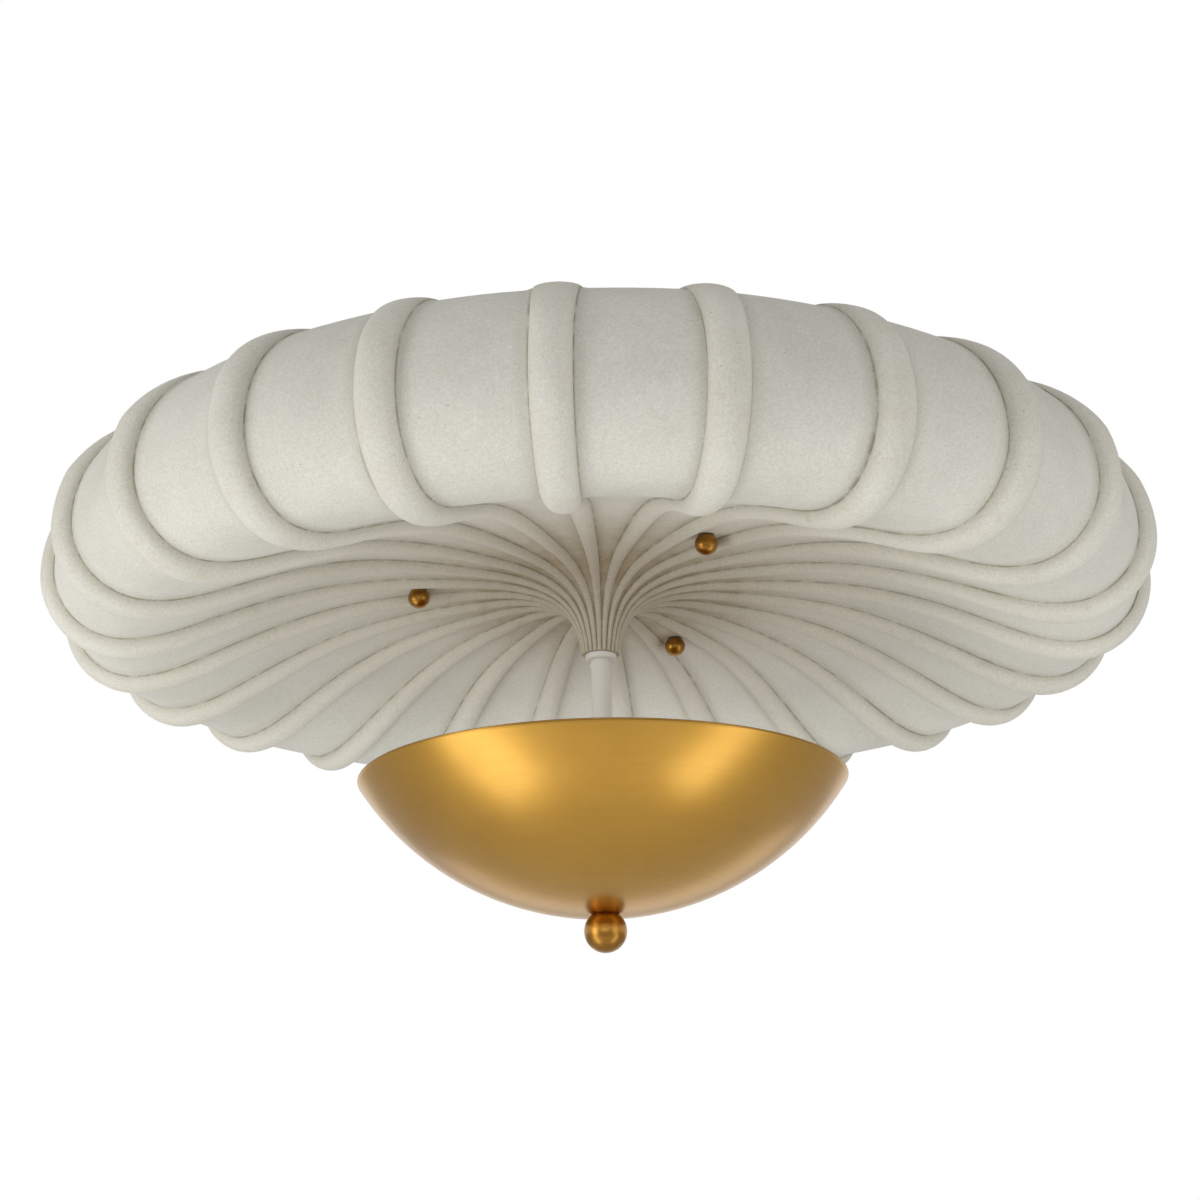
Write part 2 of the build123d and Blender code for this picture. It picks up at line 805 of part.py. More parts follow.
inner_sphere = bowl_sphere - bowl_wall
inner_flat_radius = sqrt(inner_sphere**2 - (bowl_floor - bowl_centre_z) ** 2)
inner_rim_radius = sqrt(inner_sphere**2 - (rim_z - bowl_centre_z) ** 2)
middle_drop = (rim_z + bowl_bottom) / 2
with BuildPart() as bowl:
    with BuildSketch(Plane.XZ):
        with BuildLine():
            ThreePointArc(
                (bowl_radius, rim_z),
                (sqrt(bowl_sphere**2 - (middle_drop - bowl_centre_z) ** 2), middle_drop),
                (bowl_flat_radius, bowl_bottom),
            )
            Polyline(
                (bowl_flat_radius, bowl_bottom),
                (bowl_hole_radius, bowl_bottom),
                (bowl_hole_radius, bowl_floor),
                (inner_flat_radius, bowl_floor),
            )
            ThreePointArc(
                (inner_flat_radius, bowl_floor),
                (sqrt(inner_sphere**2 - (middle_drop - bowl_centre_z) ** 2), middle_drop),
                (inner_rim_radius, rim_z),
            )
            Line((inner_rim_radius, rim_z), (bowl_radius, rim_z))
        make_face()
    revolve(axis=Axis.Z)
bowl.part.label = "bowl"
export_step(bowl.part, "parts/bowl.step")

finial_flat_radius = sqrt(finial_radius**2 - finial_flat**2)
finial_bore_floor = finial_top - finial_bore_depth
with BuildPart() as finial:
    with BuildSketch(Plane.XZ):
        with BuildLine():
            Polyline(
                (0, finial_centre_z - finial_radius),
                (0, finial_bore_floor),
                (finial_stud_radius + thread_clearance, finial_bore_floor),
                (finial_stud_radius + thread_clearance, finial_top),
                (finial_flat_radius, finial_top),
            )
            ThreePointArc(
                (finial_flat_radius, finial_top),
                (finial_radius, finial_centre_z),
                (0, finial_centre_z - finial_radius),
            )
        make_face()
    revolve(axis=Axis.Z)
finial.part.label = "finial"
export_step(finial.part, "parts/finial.step")
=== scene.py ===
"""Flush mount ceiling light: a ribbed cast shade, an open brass bowl and what carries them.

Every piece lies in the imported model's own frame: metres, +Z up into the ceiling, the origin at
the centre of the ceiling plate's upper face. Sizes in the classes are millimetres and are turned
into metres where a mesh is made.
"""

import json
import logging
from dataclasses import dataclass, field
from enum import Enum
from math import cos, hypot, pi, radians, sin

import bmesh
import bpy
import numpy as np
from mathutils import Matrix, Vector


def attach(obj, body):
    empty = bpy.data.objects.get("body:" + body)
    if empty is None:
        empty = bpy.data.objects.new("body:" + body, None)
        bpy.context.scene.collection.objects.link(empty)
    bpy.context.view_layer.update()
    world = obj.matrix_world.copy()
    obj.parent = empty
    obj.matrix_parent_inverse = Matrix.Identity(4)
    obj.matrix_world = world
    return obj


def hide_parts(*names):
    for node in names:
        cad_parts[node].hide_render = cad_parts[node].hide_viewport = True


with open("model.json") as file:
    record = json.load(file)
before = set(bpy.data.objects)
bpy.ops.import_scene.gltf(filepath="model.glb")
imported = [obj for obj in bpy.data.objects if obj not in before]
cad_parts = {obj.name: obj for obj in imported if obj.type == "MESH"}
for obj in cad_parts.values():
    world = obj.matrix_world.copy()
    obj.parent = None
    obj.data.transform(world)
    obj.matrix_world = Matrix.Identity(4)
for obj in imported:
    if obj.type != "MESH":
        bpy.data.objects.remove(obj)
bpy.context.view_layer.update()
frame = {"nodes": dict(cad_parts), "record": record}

MM = 0.001
WELD_MM = 0.002

logging.basicConfig(level=logging.INFO, format="%(name)s: %(message)s")
log = logging.getLogger("ceiling_light")

Colour = tuple[float, float, float]
Spot = tuple[float, float, float]
Point = tuple[float, float]


def srgb(red: int, green: int, blue: int) -> Colour:
    """Turns a colour read as 0 to 255 display values into the linear values that shaders take."""
    return tuple(((c / 255 + 0.055) / 1.055) ** 2.4 for c in (red, green, blue))


class Feel(Enum):
    """How a surface scatters light: its roughness as a plain word."""

    POLISHED = 0.16
    BURNISHED = 0.26
    SATIN = 0.30
    EGGSHELL = 0.46
    CHALKY = 0.86


class Ends(Enum):
    """How the outline of a turned piece ends."""

    RING = "closed outline that goes round a hollow"
    AXIS = "open outline whose two ends lie on the axis"


# Shader values as Python expressions


class Wire:
    """A number that varies over a surface: one output socket whose arithmetic adds Math nodes."""

    def __init__(self, sheet: "NodeSheet", socket: bpy.types.NodeSocket) -> None:
        """Holds the socket and the sheet that new nodes go on."""
        self.sheet = sheet
        self.socket = socket

    def _math(self, operation: str, *values: "Wire | float", clamp: bool = False) -> "Wire":
        """Adds one Math node and returns its result."""
        node = self.sheet.add("ShaderNodeMath", {"operation": operation, "use_clamp": clamp},
                              dict(enumerate(values)))
        return Wire(self.sheet, node.outputs[0])

    def __add__(self, other: "Wire | float") -> "Wire":
        """Adds a wire or a number."""
        return self._math("ADD", self, other)

    __radd__ = __add__

    def __sub__(self, other: "Wire | float") -> "Wire":
        """Takes a wire or a number away."""
        return self._math("SUBTRACT", self, other)

    def __rsub__(self, other: float) -> "Wire":
        """Takes this wire away from a number."""
        return self._math("SUBTRACT", other, self)

    def __mul__(self, other: "Wire | float") -> "Wire":
        """Multiplies by a wire or a number."""
        return self._math("MULTIPLY", self, other)

    __rmul__ = __mul__

    def __truediv__(self, other: "Wire | float") -> "Wire":
        """Divides by a wire or a number."""
        return self._math("DIVIDE", self, other)

    def __pow__(self, other: "Wire | float") -> "Wire":
        """Raises to a power."""
        return self._math("POWER", self, other)

    def held(self) -> "Wire":
        """Keeps the value between 0 and 1."""
        return self._math("ADD", self, 0.0, clamp=True)

    def above(self, edge: float, width: float) -> "Wire":
        """Ramps from 0 at edge to 1 at edge plus width, straight and held between them."""
        return ((self - edge) / width).held()


class NodeSheet:
    """The nodes of one material, all added through one method."""

    def __init__(self, name: str) -> None:
        """Makes an empty material with a Principled shader wired to its output."""
        self.material = bpy.data.materials.new(name)
        self.material.use_nodes = True
        self.tree = self.material.node_tree
        self.tree.nodes.clear()
        self.shader = self.add("ShaderNodeBsdfPrincipled")
        output = self.add("ShaderNodeOutputMaterial")
        self.tree.links.new(self.shader.outputs[0], output.inputs["Surface"])

    def add(self, kind: str, settings: dict | None = None, values: dict | None = None) -> bpy.types.Node:
        """Adds a node.

        Args:
            kind: the node's type.
            settings: properties that are set before the sockets, such as a Math node's operation.
            values: numbers, vectors or wires for its inputs, by name or place.

        Returns:
            The new node.
        """
        node = self.tree.nodes.new(kind)
        for key, value in (settings or {}).items():
            setattr(node, key, value)
        for key, value in (values or {}).items():
            self.feed(node.inputs[key], value)
        return node

    def feed(self, socket: bpy.types.NodeSocket, value: object) -> None:
        """Links a wire or a socket into an input, or sets the input to a constant."""
        source = value.socket if isinstance(value, Wire) else value
        if isinstance(source, bpy.types.NodeSocket):
            self.tree.links.new(source, socket)
        elif isinstance(source, tuple) and len(source) == 3 and socket.type == "RGBA":
            socket.default_value = (*source, 1.0)
        else:
            socket.default_value = source

    def place(self) -> bpy.types.NodeSocket:
        """Gives the Object coordinates, in metres in the frame."""
        return self.add("ShaderNodeTexCoord").outputs["Object"]

    def stretched(self, scale: Spot) -> bpy.types.NodeSocket:
        """Gives the Object coordinates multiplied along each axis."""
        values = {"Vector": self.place(), "Scale": scale}
        return self.add("ShaderNodeMapping", None, values).outputs[0]

    def noise(self, per_metre: float, detail: float = 3.0, rough: float = 0.5,
              vector: bpy.types.NodeSocket | None = None) -> Wire:
        """Gives a cloud value from 0 to 1 at so many features to the metre."""
        values = {"Vector": vector or self.place(), "Scale": per_metre, "Detail": detail}
        node = self.add("ShaderNodeTexNoise", None, {**values, "Roughness": rough})
        return Wire(self, node.outputs[0])

    def height(self) -> Wire:
        """Gives the height in the frame, in metres."""
        node = self.add("ShaderNodeSeparateXYZ", None, {0: self.place()})
        return Wire(self, node.outputs["Z"])

    def cells(self, per_metre: float) -> Wire:
        """Gives the distance to the nearest of scattered points, from 0 at a point."""
        values = {"Vector": self.place(), "Scale": per_metre, "Randomness": 1.0}
        return Wire(self, self.add("ShaderNodeTexVoronoi", None, values).outputs["Distance"])

    def attribute(self, name: str) -> Wire:
        """Reads a number that the mesh carries at each vertex."""
        node = self.add("ShaderNodeAttribute", {"attribute_name": name, "attribute_type": "GEOMETRY"})
        return Wire(self, node.outputs["Fac"])

    def blend(self, first: object, second: object, share: Wire | float,
              how: str = "MIX") -> bpy.types.NodeSocket:
        """Mixes two colours by a share from 0, all first, to 1, all second."""
        node = self.add("ShaderNodeMix", {"data_type": "RGBA", "blend_type": how}, {0: share})
        self.feed(node.inputs[6], first)
        self.feed(node.inputs[7], second)
        return node.outputs[2]

    def relief(self, height: Wire, depth_mm: float) -> None:
        """Feeds the normal from a height, where 1 stands depth_mm above 0."""
        values = {"Height": height, "Distance": depth_mm * MM, "Strength": 1.0}
        bump = self.add("ShaderNodeBump", None, values)
        self.feed(self.shader.inputs["Normal"], bump.outputs[0])

    def surface(self, **values: object) -> None:
        """Sets inputs of the shader, named with underscores for spaces."""
        for key, value in values.items():
            self.feed(self.shader.inputs[key.replace("_", " ").title().replace("Ior", "IOR")], value)


# Finishes


@dataclass(frozen=True)
class CastStone:
    """Pale cast resin with a sanded coat, with painted shade by the creases beside the ribs and in the
    funnel.
    """

    name: str = "shade_cast"
    ground: Colour = srgb(234, 232, 221)
    cool: Colour = srgb(219, 218, 207)
    warm: Colour = srgb(230, 223, 206)
    blotch: Colour = srgb(206, 191, 160)
    painted_crease_shade: Colour = srgb(176, 172, 152)
    line: Colour = srgb(134, 126, 100)
    funnel_stain_and_shade: Colour = srgb(178, 160, 118)
    pit: Colour = srgb(140, 127, 102)
    grain_low: Colour = (0.86, 0.86, 0.855)
    grain_high: Colour = (1.08, 1.08, 1.085)
    line_mm: float = 1.0
    painted_crease_shade_mm: float = 9.0
    painted_crease_shade_wander_mm: float = 7.0
    relief_mm: float = 0.24
    cloud_per_metre: float = 9.0
    patch_per_metre: float = 38.0
    blot_per_metre: float = 95.0
    grain_per_metre: float = 620.0
    sand_per_metre: float = 1700.0
    pitted_per_metre: float = 26.0
    pits_per_metre: float = 210.0
    pit_size: float = 0.10

    def material(self) -> bpy.types.Material:
        """Builds the finish; the mesh says how far each point is from a crease and how deep it lies."""
        sheet = NodeSheet(self.name)
        crease = sheet.attribute("crease_mm")
        ribbed = sheet.attribute("rib")
        hollow = sheet.attribute("hollow")
        cloud = sheet.noise(self.cloud_per_metre, 4.0, 0.55)
        patch = sheet.noise(self.patch_per_metre, 5.0, 0.6)
        blot = sheet.noise(self.blot_per_metre, 4.0, 0.6)
        grain = sheet.noise(self.grain_per_metre, 4.0, 0.8)
        sand = sheet.noise(self.sand_per_metre, 2.0, 0.6)
        cool = cloud.above(0.38, 0.3) * 0.6 + patch.above(0.4, 0.35) * 0.4
        tone = sheet.blend(self.ground, self.cool, cool.held())
        # warmer at random on the ribs, and a painted shade tint: warmer the deeper the underside lies
        warm = ribbed * patch.above(0.30, 0.5) * 0.6 + hollow * 0.35
        tone = sheet.blend(tone, self.warm, warm.held())
        blotch = blot.above(0.56, 0.18) * cloud.above(0.4, 0.25) * (0.18 + ribbed * 0.3)
        tone = sheet.blend(tone, self.blotch, blotch.held())
        # painted shade: a soft, wide darkening beside each crease, where shade falls by the ribs
        painted_crease_shade_share = (1.0 - (crease + (patch - 0.5) * self.painted_crease_shade_wander_mm) / self.painted_crease_shade_mm).held()
        tone = sheet.blend(tone, self.painted_crease_shade, (painted_crease_shade_share ** 1.5 * (0.42 - hollow * 0.12)).held())
        # stain and painted shade: yellow-brown between the ribs deep in the funnel, strongest where the
        # recess lies deepest
        deep = hollow.above(0.62, 0.32)
        funnel_stain_and_shade = (1.0 - ribbed * 0.75) * deep * (0.25 + blot.above(0.3, 0.4) * 0.45)
        tone = sheet.blend(tone, self.funnel_stain_and_shade, funnel_stain_and_shade.held())
        # a thin dark line along each crease: partly dirt, partly painted crease shadow
        thin = (1.0 - crease / self.line_mm).held() * (blot.above(0.40, 0.16) * 0.75 + 0.08)
        tone = sheet.blend(tone, self.line, (thin * (0.85 - hollow * 0.35)).held())
        pitted = sheet.noise(self.pitted_per_metre, 2.0).above(0.50, 0.08)
        holes = (1.0 - sheet.cells(self.pits_per_metre) / self.pit_size).held() * pitted
        tone = sheet.blend(tone, self.pit, (holes * 0.8).held())
        grainy = (grain * 0.7 + sand * 0.3).above(0.36, 0.28)
        tone = sheet.blend(tone, sheet.blend(self.grain_low, self.grain_high, grainy), 1.0, "MULTIPLY")
        sheet.surface(base_color=tone, roughness=Feel.CHALKY.value, specular_ior_level=0.25)
        sheet.relief(grain * 0.75 + sand * 0.30 + patch * 0.9 - holes * 1.4, self.relief_mm)
        return sheet.material


@dataclass(frozen=True)
class SpunBrass:
    """Aged brass under clear lacquer, with fine turning lines round the axis."""

    name: str
    tone: Colour
    deep: Colour
    feel: Feel
    line_per_metre: float = 900.0
    cloud_per_metre: float = 14.0
    wear: float = 0.35
    coat: float = 0.30
    relief_mm: float = 0.014
    rim_height: float = 1.0
    rim_fade: float = 0.0003
    painted_rim_shade: Colour = srgb(92, 60, 22)

    def material(self) -> bpy.types.Material:
        """Builds the metal: rings in height give the turning lines, clouds give the patina.

        From the rim height up the metal is painted dark, a painted shade along the bowl's edge.
        """
        sheet = NodeSheet(self.name)
        rings = sheet.noise(1.0, 2.0, 0.6, sheet.stretched((4.0, 4.0, self.line_per_metre)))
        fine = sheet.noise(1.0, 3.0, 0.7, sheet.stretched((20.0, 20.0, self.line_per_metre * 3.0)))
        cloud = sheet.noise(self.cloud_per_metre, 4.0, 0.6)
        height = sheet.height()
        aged = (cloud.above(0.35, 0.4) * self.wear + rings * 0.25).held()
        tone = sheet.blend(self.tone, self.deep, aged)
        # painted shade: the metal darkened from the rim height up
        tone = sheet.blend(tone, self.painted_rim_shade, height.above(self.rim_height, self.rim_fade) * 0.55)
        rough = self.feel.value + 0.07 * fine + 0.05 * cloud
        sheet.surface(base_color=tone, metallic=1.0, roughness=rough, coat_weight=self.coat,
                      coat_roughness=0.18)
        sheet.relief(rings * 0.6 + fine * 0.4, self.relief_mm)
        return sheet.material


@dataclass(frozen=True)
class Enamel:
    """Sprayed paint on metal, with the faint orange peel of spray."""

    name: str
    tone: Colour
    feel: Feel = Feel.SATIN
    grime: Colour = srgb(222, 220, 212)

    def material(self) -> bpy.types.Material:
        """Builds the paint: peel as relief, a trace of grime as colour and roughness."""
        sheet = NodeSheet(self.name)
        peel = sheet.noise(520.0, 2.0, 0.5)
        cloud = sheet.noise(24.0, 3.0, 0.5)
        tone = sheet.blend(self.tone, self.grime, cloud.above(0.5, 0.3) * 0.25)
        sheet.surface(base_color=tone, roughness=self.feel.value + 0.1 * cloud, coat_weight=0.15,
                      coat_roughness=0.25)
        sheet.relief(peel, 0.03)
        return sheet.material


@dataclass(frozen=True)
class PlainMetal:
    """Bare or plated metal with rolling marks, as on rods, nuts, caps and contacts."""

    name: str
    tone: Colour
    deep: Colour
    feel: Feel = Feel.SATIN

    def material(self) -> bpy.types.Material:
        """Builds the metal: streaks along Z in roughness and clouds in colour."""
        sheet = NodeSheet(self.name)
        streak = sheet.noise(1.0, 3.0, 0.6, sheet.stretched((700.0, 700.0, 60.0)))
        cloud = sheet.noise(60.0, 4.0, 0.6)
        tone = sheet.blend(self.tone, self.deep, cloud.above(0.4, 0.35) * 0.6)
        sheet.surface(base_color=tone, metallic=1.0, roughness=self.feel.value + 0.14 * streak)
        sheet.relief(streak, 0.012)
        return sheet.material


@dataclass(frozen=True)
class Moulded:
    """Rubber, fibre, plastic or bare ceramic: one tone with a fine moulded grain."""

    name: str
    tone: Colour
    deep: Colour
    feel: Feel = Feel.EGGSHELL
    grain_per_metre: float = 1400.0
    grain_mm: float = 0.03

    def material(self) -> bpy.types.Material:
        """Builds the finish: grain as relief and a soft change of tone."""
        sheet = NodeSheet(self.name)
        grain = sheet.noise(self.grain_per_metre, 3.0, 0.6)
        cloud = sheet.noise(80.0, 3.0, 0.5)
        sheet.surface(base_color=sheet.blend(self.tone, self.deep, cloud.above(0.4, 0.3)),
                      roughness=self.feel.value + 0.12 * grain)
        sheet.relief(grain, self.grain_mm)
        return sheet.material


@dataclass(frozen=True)
class ClearGlass:
    """Thin clear bulb glass with a slight waviness."""

    name: str = "bulb_glass"
    tone: Colour = (0.97, 0.98, 0.98)

    def material(self) -> bpy.types.Material:
        """Builds the glass from the shader's own transmission."""
        sheet = NodeSheet(self.name)
        wave = sheet.noise(70.0, 1.0)
        film = sheet.noise(30.0, 3.0)
        sheet.surface(base_color=self.tone, roughness=0.02 + 0.05 * film.above(0.5, 0.3),
                      transmission_weight=1.0, ior=1.45)
        sheet.relief(wave, 0.02)
        return sheet.material


class Finishes:
    """Every finish of the light, built once and kept by its slot in the record."""

    def __init__(self) -> None:
        """Builds the materials."""
        brass, brown = srgb(212, 164, 72), srgb(182, 130, 46)
        made = (
            CastStone(),
            SpunBrass("bowl_brass", brass, brown, Feel.BURNISHED, rim_height=-0.2037),
            SpunBrass("finial_brass", srgb(176, 126, 46), srgb(120, 78, 22), Feel.BURNISHED, 1500.0, 60.0,
                      relief_mm=0.003),
            Enamel("stem_paint", srgb(247, 247, 244)),
            Enamel("plate_paint", srgb(224, 224, 220), Feel.EGGSHELL),
            PlainMetal("zinc_steel", srgb(190, 192, 190), srgb(160, 160, 150)),
            PlainMetal("contact_brass", srgb(205, 170, 96), srgb(160, 120, 60)),
            PlainMetal("cap_metal", srgb(205, 206, 208), srgb(176, 176, 176), Feel.POLISHED),
            Moulded("bush_plastic", srgb(40, 40, 42), srgb(58, 58, 58)),
            Moulded("washer_rubber", srgb(62, 54, 46), srgb(84, 74, 62), Feel.CHALKY, 2600.0, 0.06),
            Moulded("socket_ceramic", srgb(232, 229, 218), srgb(214, 208, 192), Feel.EGGSHELL),
            Moulded("filament", srgb(238, 200, 104), srgb(224, 176, 80), Feel.EGGSHELL),
            ClearGlass(),
        )
        self.by_slot = {finish.name: finish.material() for finish in made}

    def dress(self, piece: bpy.types.Object, slot: str) -> None:
        """Gives a piece or a CAD node the finish of a slot, in place of what it had."""
        piece.data.materials.clear()
        piece.data.materials.append(self.by_slot[slot])


# Meshes from surfaces of two parameters


def weld_and_link(name: str, points: np.ndarray, round_way: bool, along_way: bool) -> bpy.types.Object:
    """Makes an object from a grid of points.

    Point (i, j) is joined to (i + 1, j) and (i, j + 1); faces turn outward by the sign of their volume.

    Args:
        name: the object's name.
        points: an array of rows, columns and x, y, z, in millimetres.
        round_way: joins the last column to the first.
        along_way: joins the last row to the first.

    Returns:
        The new object, with its place in its mesh.
    """
    rows, columns = points.shape[:2]
    i, j = np.meshgrid(np.arange(rows if along_way else rows - 1),
                       np.arange(columns if round_way else columns - 1), indexing="ij")
    below, beside = (i + 1) % rows, (j + 1) % columns
    quads = np.stack([i * columns + j, below * columns + j,
                      below * columns + beside, i * columns + beside], -1)
    quads = quads.reshape(-1, 4)
    flat = points.reshape(-1, 3)
    corners = flat[quads] - flat.mean(0)
    volume = np.einsum("ij,ij->", corners[:, 0], np.cross(corners[:, 1], corners[:, 2]))
    volume += np.einsum("ij,ij->", corners[:, 0], np.cross(corners[:, 2], corners[:, 3]))
    if volume < 0:
        quads = quads[:, ::-1]
    mesh = bpy.data.meshes.new(name)
    mesh.vertices.add(len(flat))
    mesh.vertices.foreach_set("co", (flat * MM).astype(np.float32).ravel())
    mesh.loops.add(quads.size)
    mesh.loops.foreach_set("vertex_index", quads.astype(np.int32).ravel())
    mesh.polygons.add(len(quads))
    mesh.polygons.foreach_set("loop_start", np.arange(0, quads.size, 4, dtype=np.int32))
    mesh.update(calc_edges=True)
    mesh.validate()
    piece = bpy.data.objects.new(name, mesh)
    bpy.context.scene.collection.objects.link(piece)
    return piece


def finish_mesh(piece: bpy.types.Object, sharp_degrees: float = 40.0) -> bpy.types.Object:
    """Merges doubled points, closes poles and shades the mesh smooth between sharp corners."""
    work = bmesh.new()
    work.from_mesh(piece.data)
    bmesh.ops.remove_doubles(work, verts=work.verts, dist=WELD_MM * MM)
    work.to_mesh(piece.data)
    work.free()
    piece.data.shade_smooth()
    piece.data.set_sharp_from_angle(angle=radians(sharp_degrees))
    return piece


def eased(outline: list[Point], radius: float, closed: bool, steps: int = 4) -> np.ndarray:
    """Rounds the corners of an outline.

    Each corner c becomes the parabola (1-t)^2 a + 2 t (1-t) c + t^2 b, where a and b lie on its
    two runs, one radius away or half the run if that is less. The ends of an open outline stay.
    """
    corners = np.array(outline, float)
    before = np.roll(corners, 1, 0) - corners
    after = np.roll(corners, -1, 0) - corners
    reach_before = np.minimum(radius, np.hypot(*before.T) / 2) / np.hypot(*before.T)
    reach_after = np.minimum(radius, np.hypot(*after.T) / 2) / np.hypot(*after.T)
    if not closed:
        reach_before[[0, -1]] = 0
        reach_after[[0, -1]] = 0
    a = corners + before * reach_before[:, None]
    b = corners + after * reach_after[:, None]
    t = np.linspace(0, 1, steps + 1)[None, :, None]
    curve = (1 - t) ** 2 * a[:, None] + 2 * t * (1 - t) * corners[:, None] + t**2 * b[:, None]
    if not closed:
        return np.vstack([corners[:1], curve[1:-1].reshape(-1, 2), corners[-1:]])
    return curve.reshape(-1, 2)


def spline_through(points: list[Point], start: Point, end: Point, count: int) -> np.ndarray:
    """Runs a smooth curve through points.

    It is the cubic whose slope and bend are continuous, worked out on the length of the chords,
    and it leaves and arrives along two given directions.

    Args:
        points: what the curve passes through.
        start: the direction at the first point, of length 1.
        end: the direction at the last point, of length 1.
        count: how many points to return, evenly spaced along the chords.

    Returns:
        The points of the curve.
    """
    p = np.array(points, float)
    run = np.hypot(*np.diff(p, axis=0).T)
    knots = np.concatenate([[0], np.cumsum(run)])
    size = len(p)
    system = np.eye(size)
    right = np.zeros((size, 2))
    right[0], right[-1] = start, end
    inner = np.arange(1, size - 1)
    system[inner, inner - 1] = run[1:]
    system[inner, inner] = 2 * (run[:-1] + run[1:])
    system[inner, inner + 1] = run[:-1]
    slope = np.diff(p, axis=0) / run[:, None]
    right[1:-1] = 3 * (run[1:, None] * slope[:-1] + run[:-1, None] * slope[1:])
    tangent = np.linalg.solve(system, right)
    u = np.linspace(0, knots[-1], count)
    k = np.clip(np.searchsorted(knots, u, side="right") - 1, 0, size - 2)
    t = ((u - knots[k]) / run[k])[:, None]
    h = run[k][:, None]
    return ((1 + 2 * t) * (1 - t) ** 2 * p[k] + t * (1 - t) ** 2 * h * tangent[k]
            + t**2 * (3 - 2 * t) * p[k + 1] + t**2 * (t - 1) * h * tangent[k + 1])


@dataclass(frozen=True)
class Spindle:
    """An axis to turn pieces about: a foot and the direction of its own height."""

    foot: Spot = (0.0, 0.0, 0.0)
    tilt: float = 90.0
    turn: float = 0.0

    def placed(self, radius: np.ndarray, angle: np.ndarray, height: np.ndarray) -> np.ndarray:
        """Places points given by distance from the axis, angle round it and height along it."""
        lean, way = radians(self.tilt), radians(self.turn)
        up = np.array([cos(way) * cos(lean), sin(way) * cos(lean), sin(lean)])
        side = np.array([-sin(way), cos(way), 0.0])
        out = np.cross(side, up)
        spoke = np.cos(angle)[..., None] * out + np.sin(angle)[..., None] * side
        return np.array(self.foot) + radius[..., None] * spoke + height[..., None] * up

    def turned(self, name: str, outline: np.ndarray, ends: Ends, around: int = 64) -> bpy.types.Object:
        """Turns an outline of (radius, height) points about the axis."""
        outline = np.asarray(outline, float)
        angle = np.arange(around) * 2 * pi / around
        shape = (len(outline), around)
        points = self.placed(np.broadcast_to(outline[:, :1], shape), np.broadcast_to(angle, shape),
                             np.broadcast_to(outline[:, 1:], shape))
        return finish_mesh(weld_and_link(name, points, True, ends is Ends.RING))

    def threaded(self, name: str, radius: float, low: float, high: float, pitch: float,
                 depth: float, bore: float = 0.0, around: int = 24, per_turn: int = 6) -> bpy.types.Object:
        """Makes a screwed rod or tube.

        The surface is radius minus depth times a rounded wave of height over pitch less the angle
        over a full turn, so the crest climbs one pitch in each turn. It fades out at both ends.
        """
        rows = max(4, int((high - low) / pitch * per_turn))
        height, angle = np.meshgrid(np.linspace(low, high, rows),
                                    np.arange(around) * 2 * pi / around, indexing="ij")
        wave = 0.5 - 0.5 * np.cos(2 * pi * (height / pitch - angle / (2 * pi)))
        fade = np.clip(np.minimum(height - low, high - height) / pitch, 0, 1)
        out = radius - depth * (1 - (1 - wave) ** 0.7 * fade)
        ring = np.ones((1, around))
        if bore:
            caps = [(bore, high), (bore, low)]
        else:
            caps = [(0.0, high)]
            out = np.vstack([0 * ring, out])
            height = np.vstack([low * ring, height])
            angle = np.vstack([angle[:1], angle])
        for cap_radius, cap_height in caps:
            out = np.vstack([out, cap_radius * ring])
            height = np.vstack([height, cap_height * ring])
            angle = np.vstack([angle, angle[:1]])
        return finish_mesh(weld_and_link(name, self.placed(out, angle, height), True, bool(bore)), 60.0)


def settle(piece: bpy.types.Object, body: str, slot: str, finishes: Finishes, node: str) -> None:
    """Dresses a finished piece, rides it on its body and hides the CAD node that it stands for."""
    finishes.dress(piece, slot)
    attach(piece, body)
    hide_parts(node)
    log.info("%s rides on %s: %d faces", piece.name, body, len(piece.data.polygons))


# The light's sub-assemblies


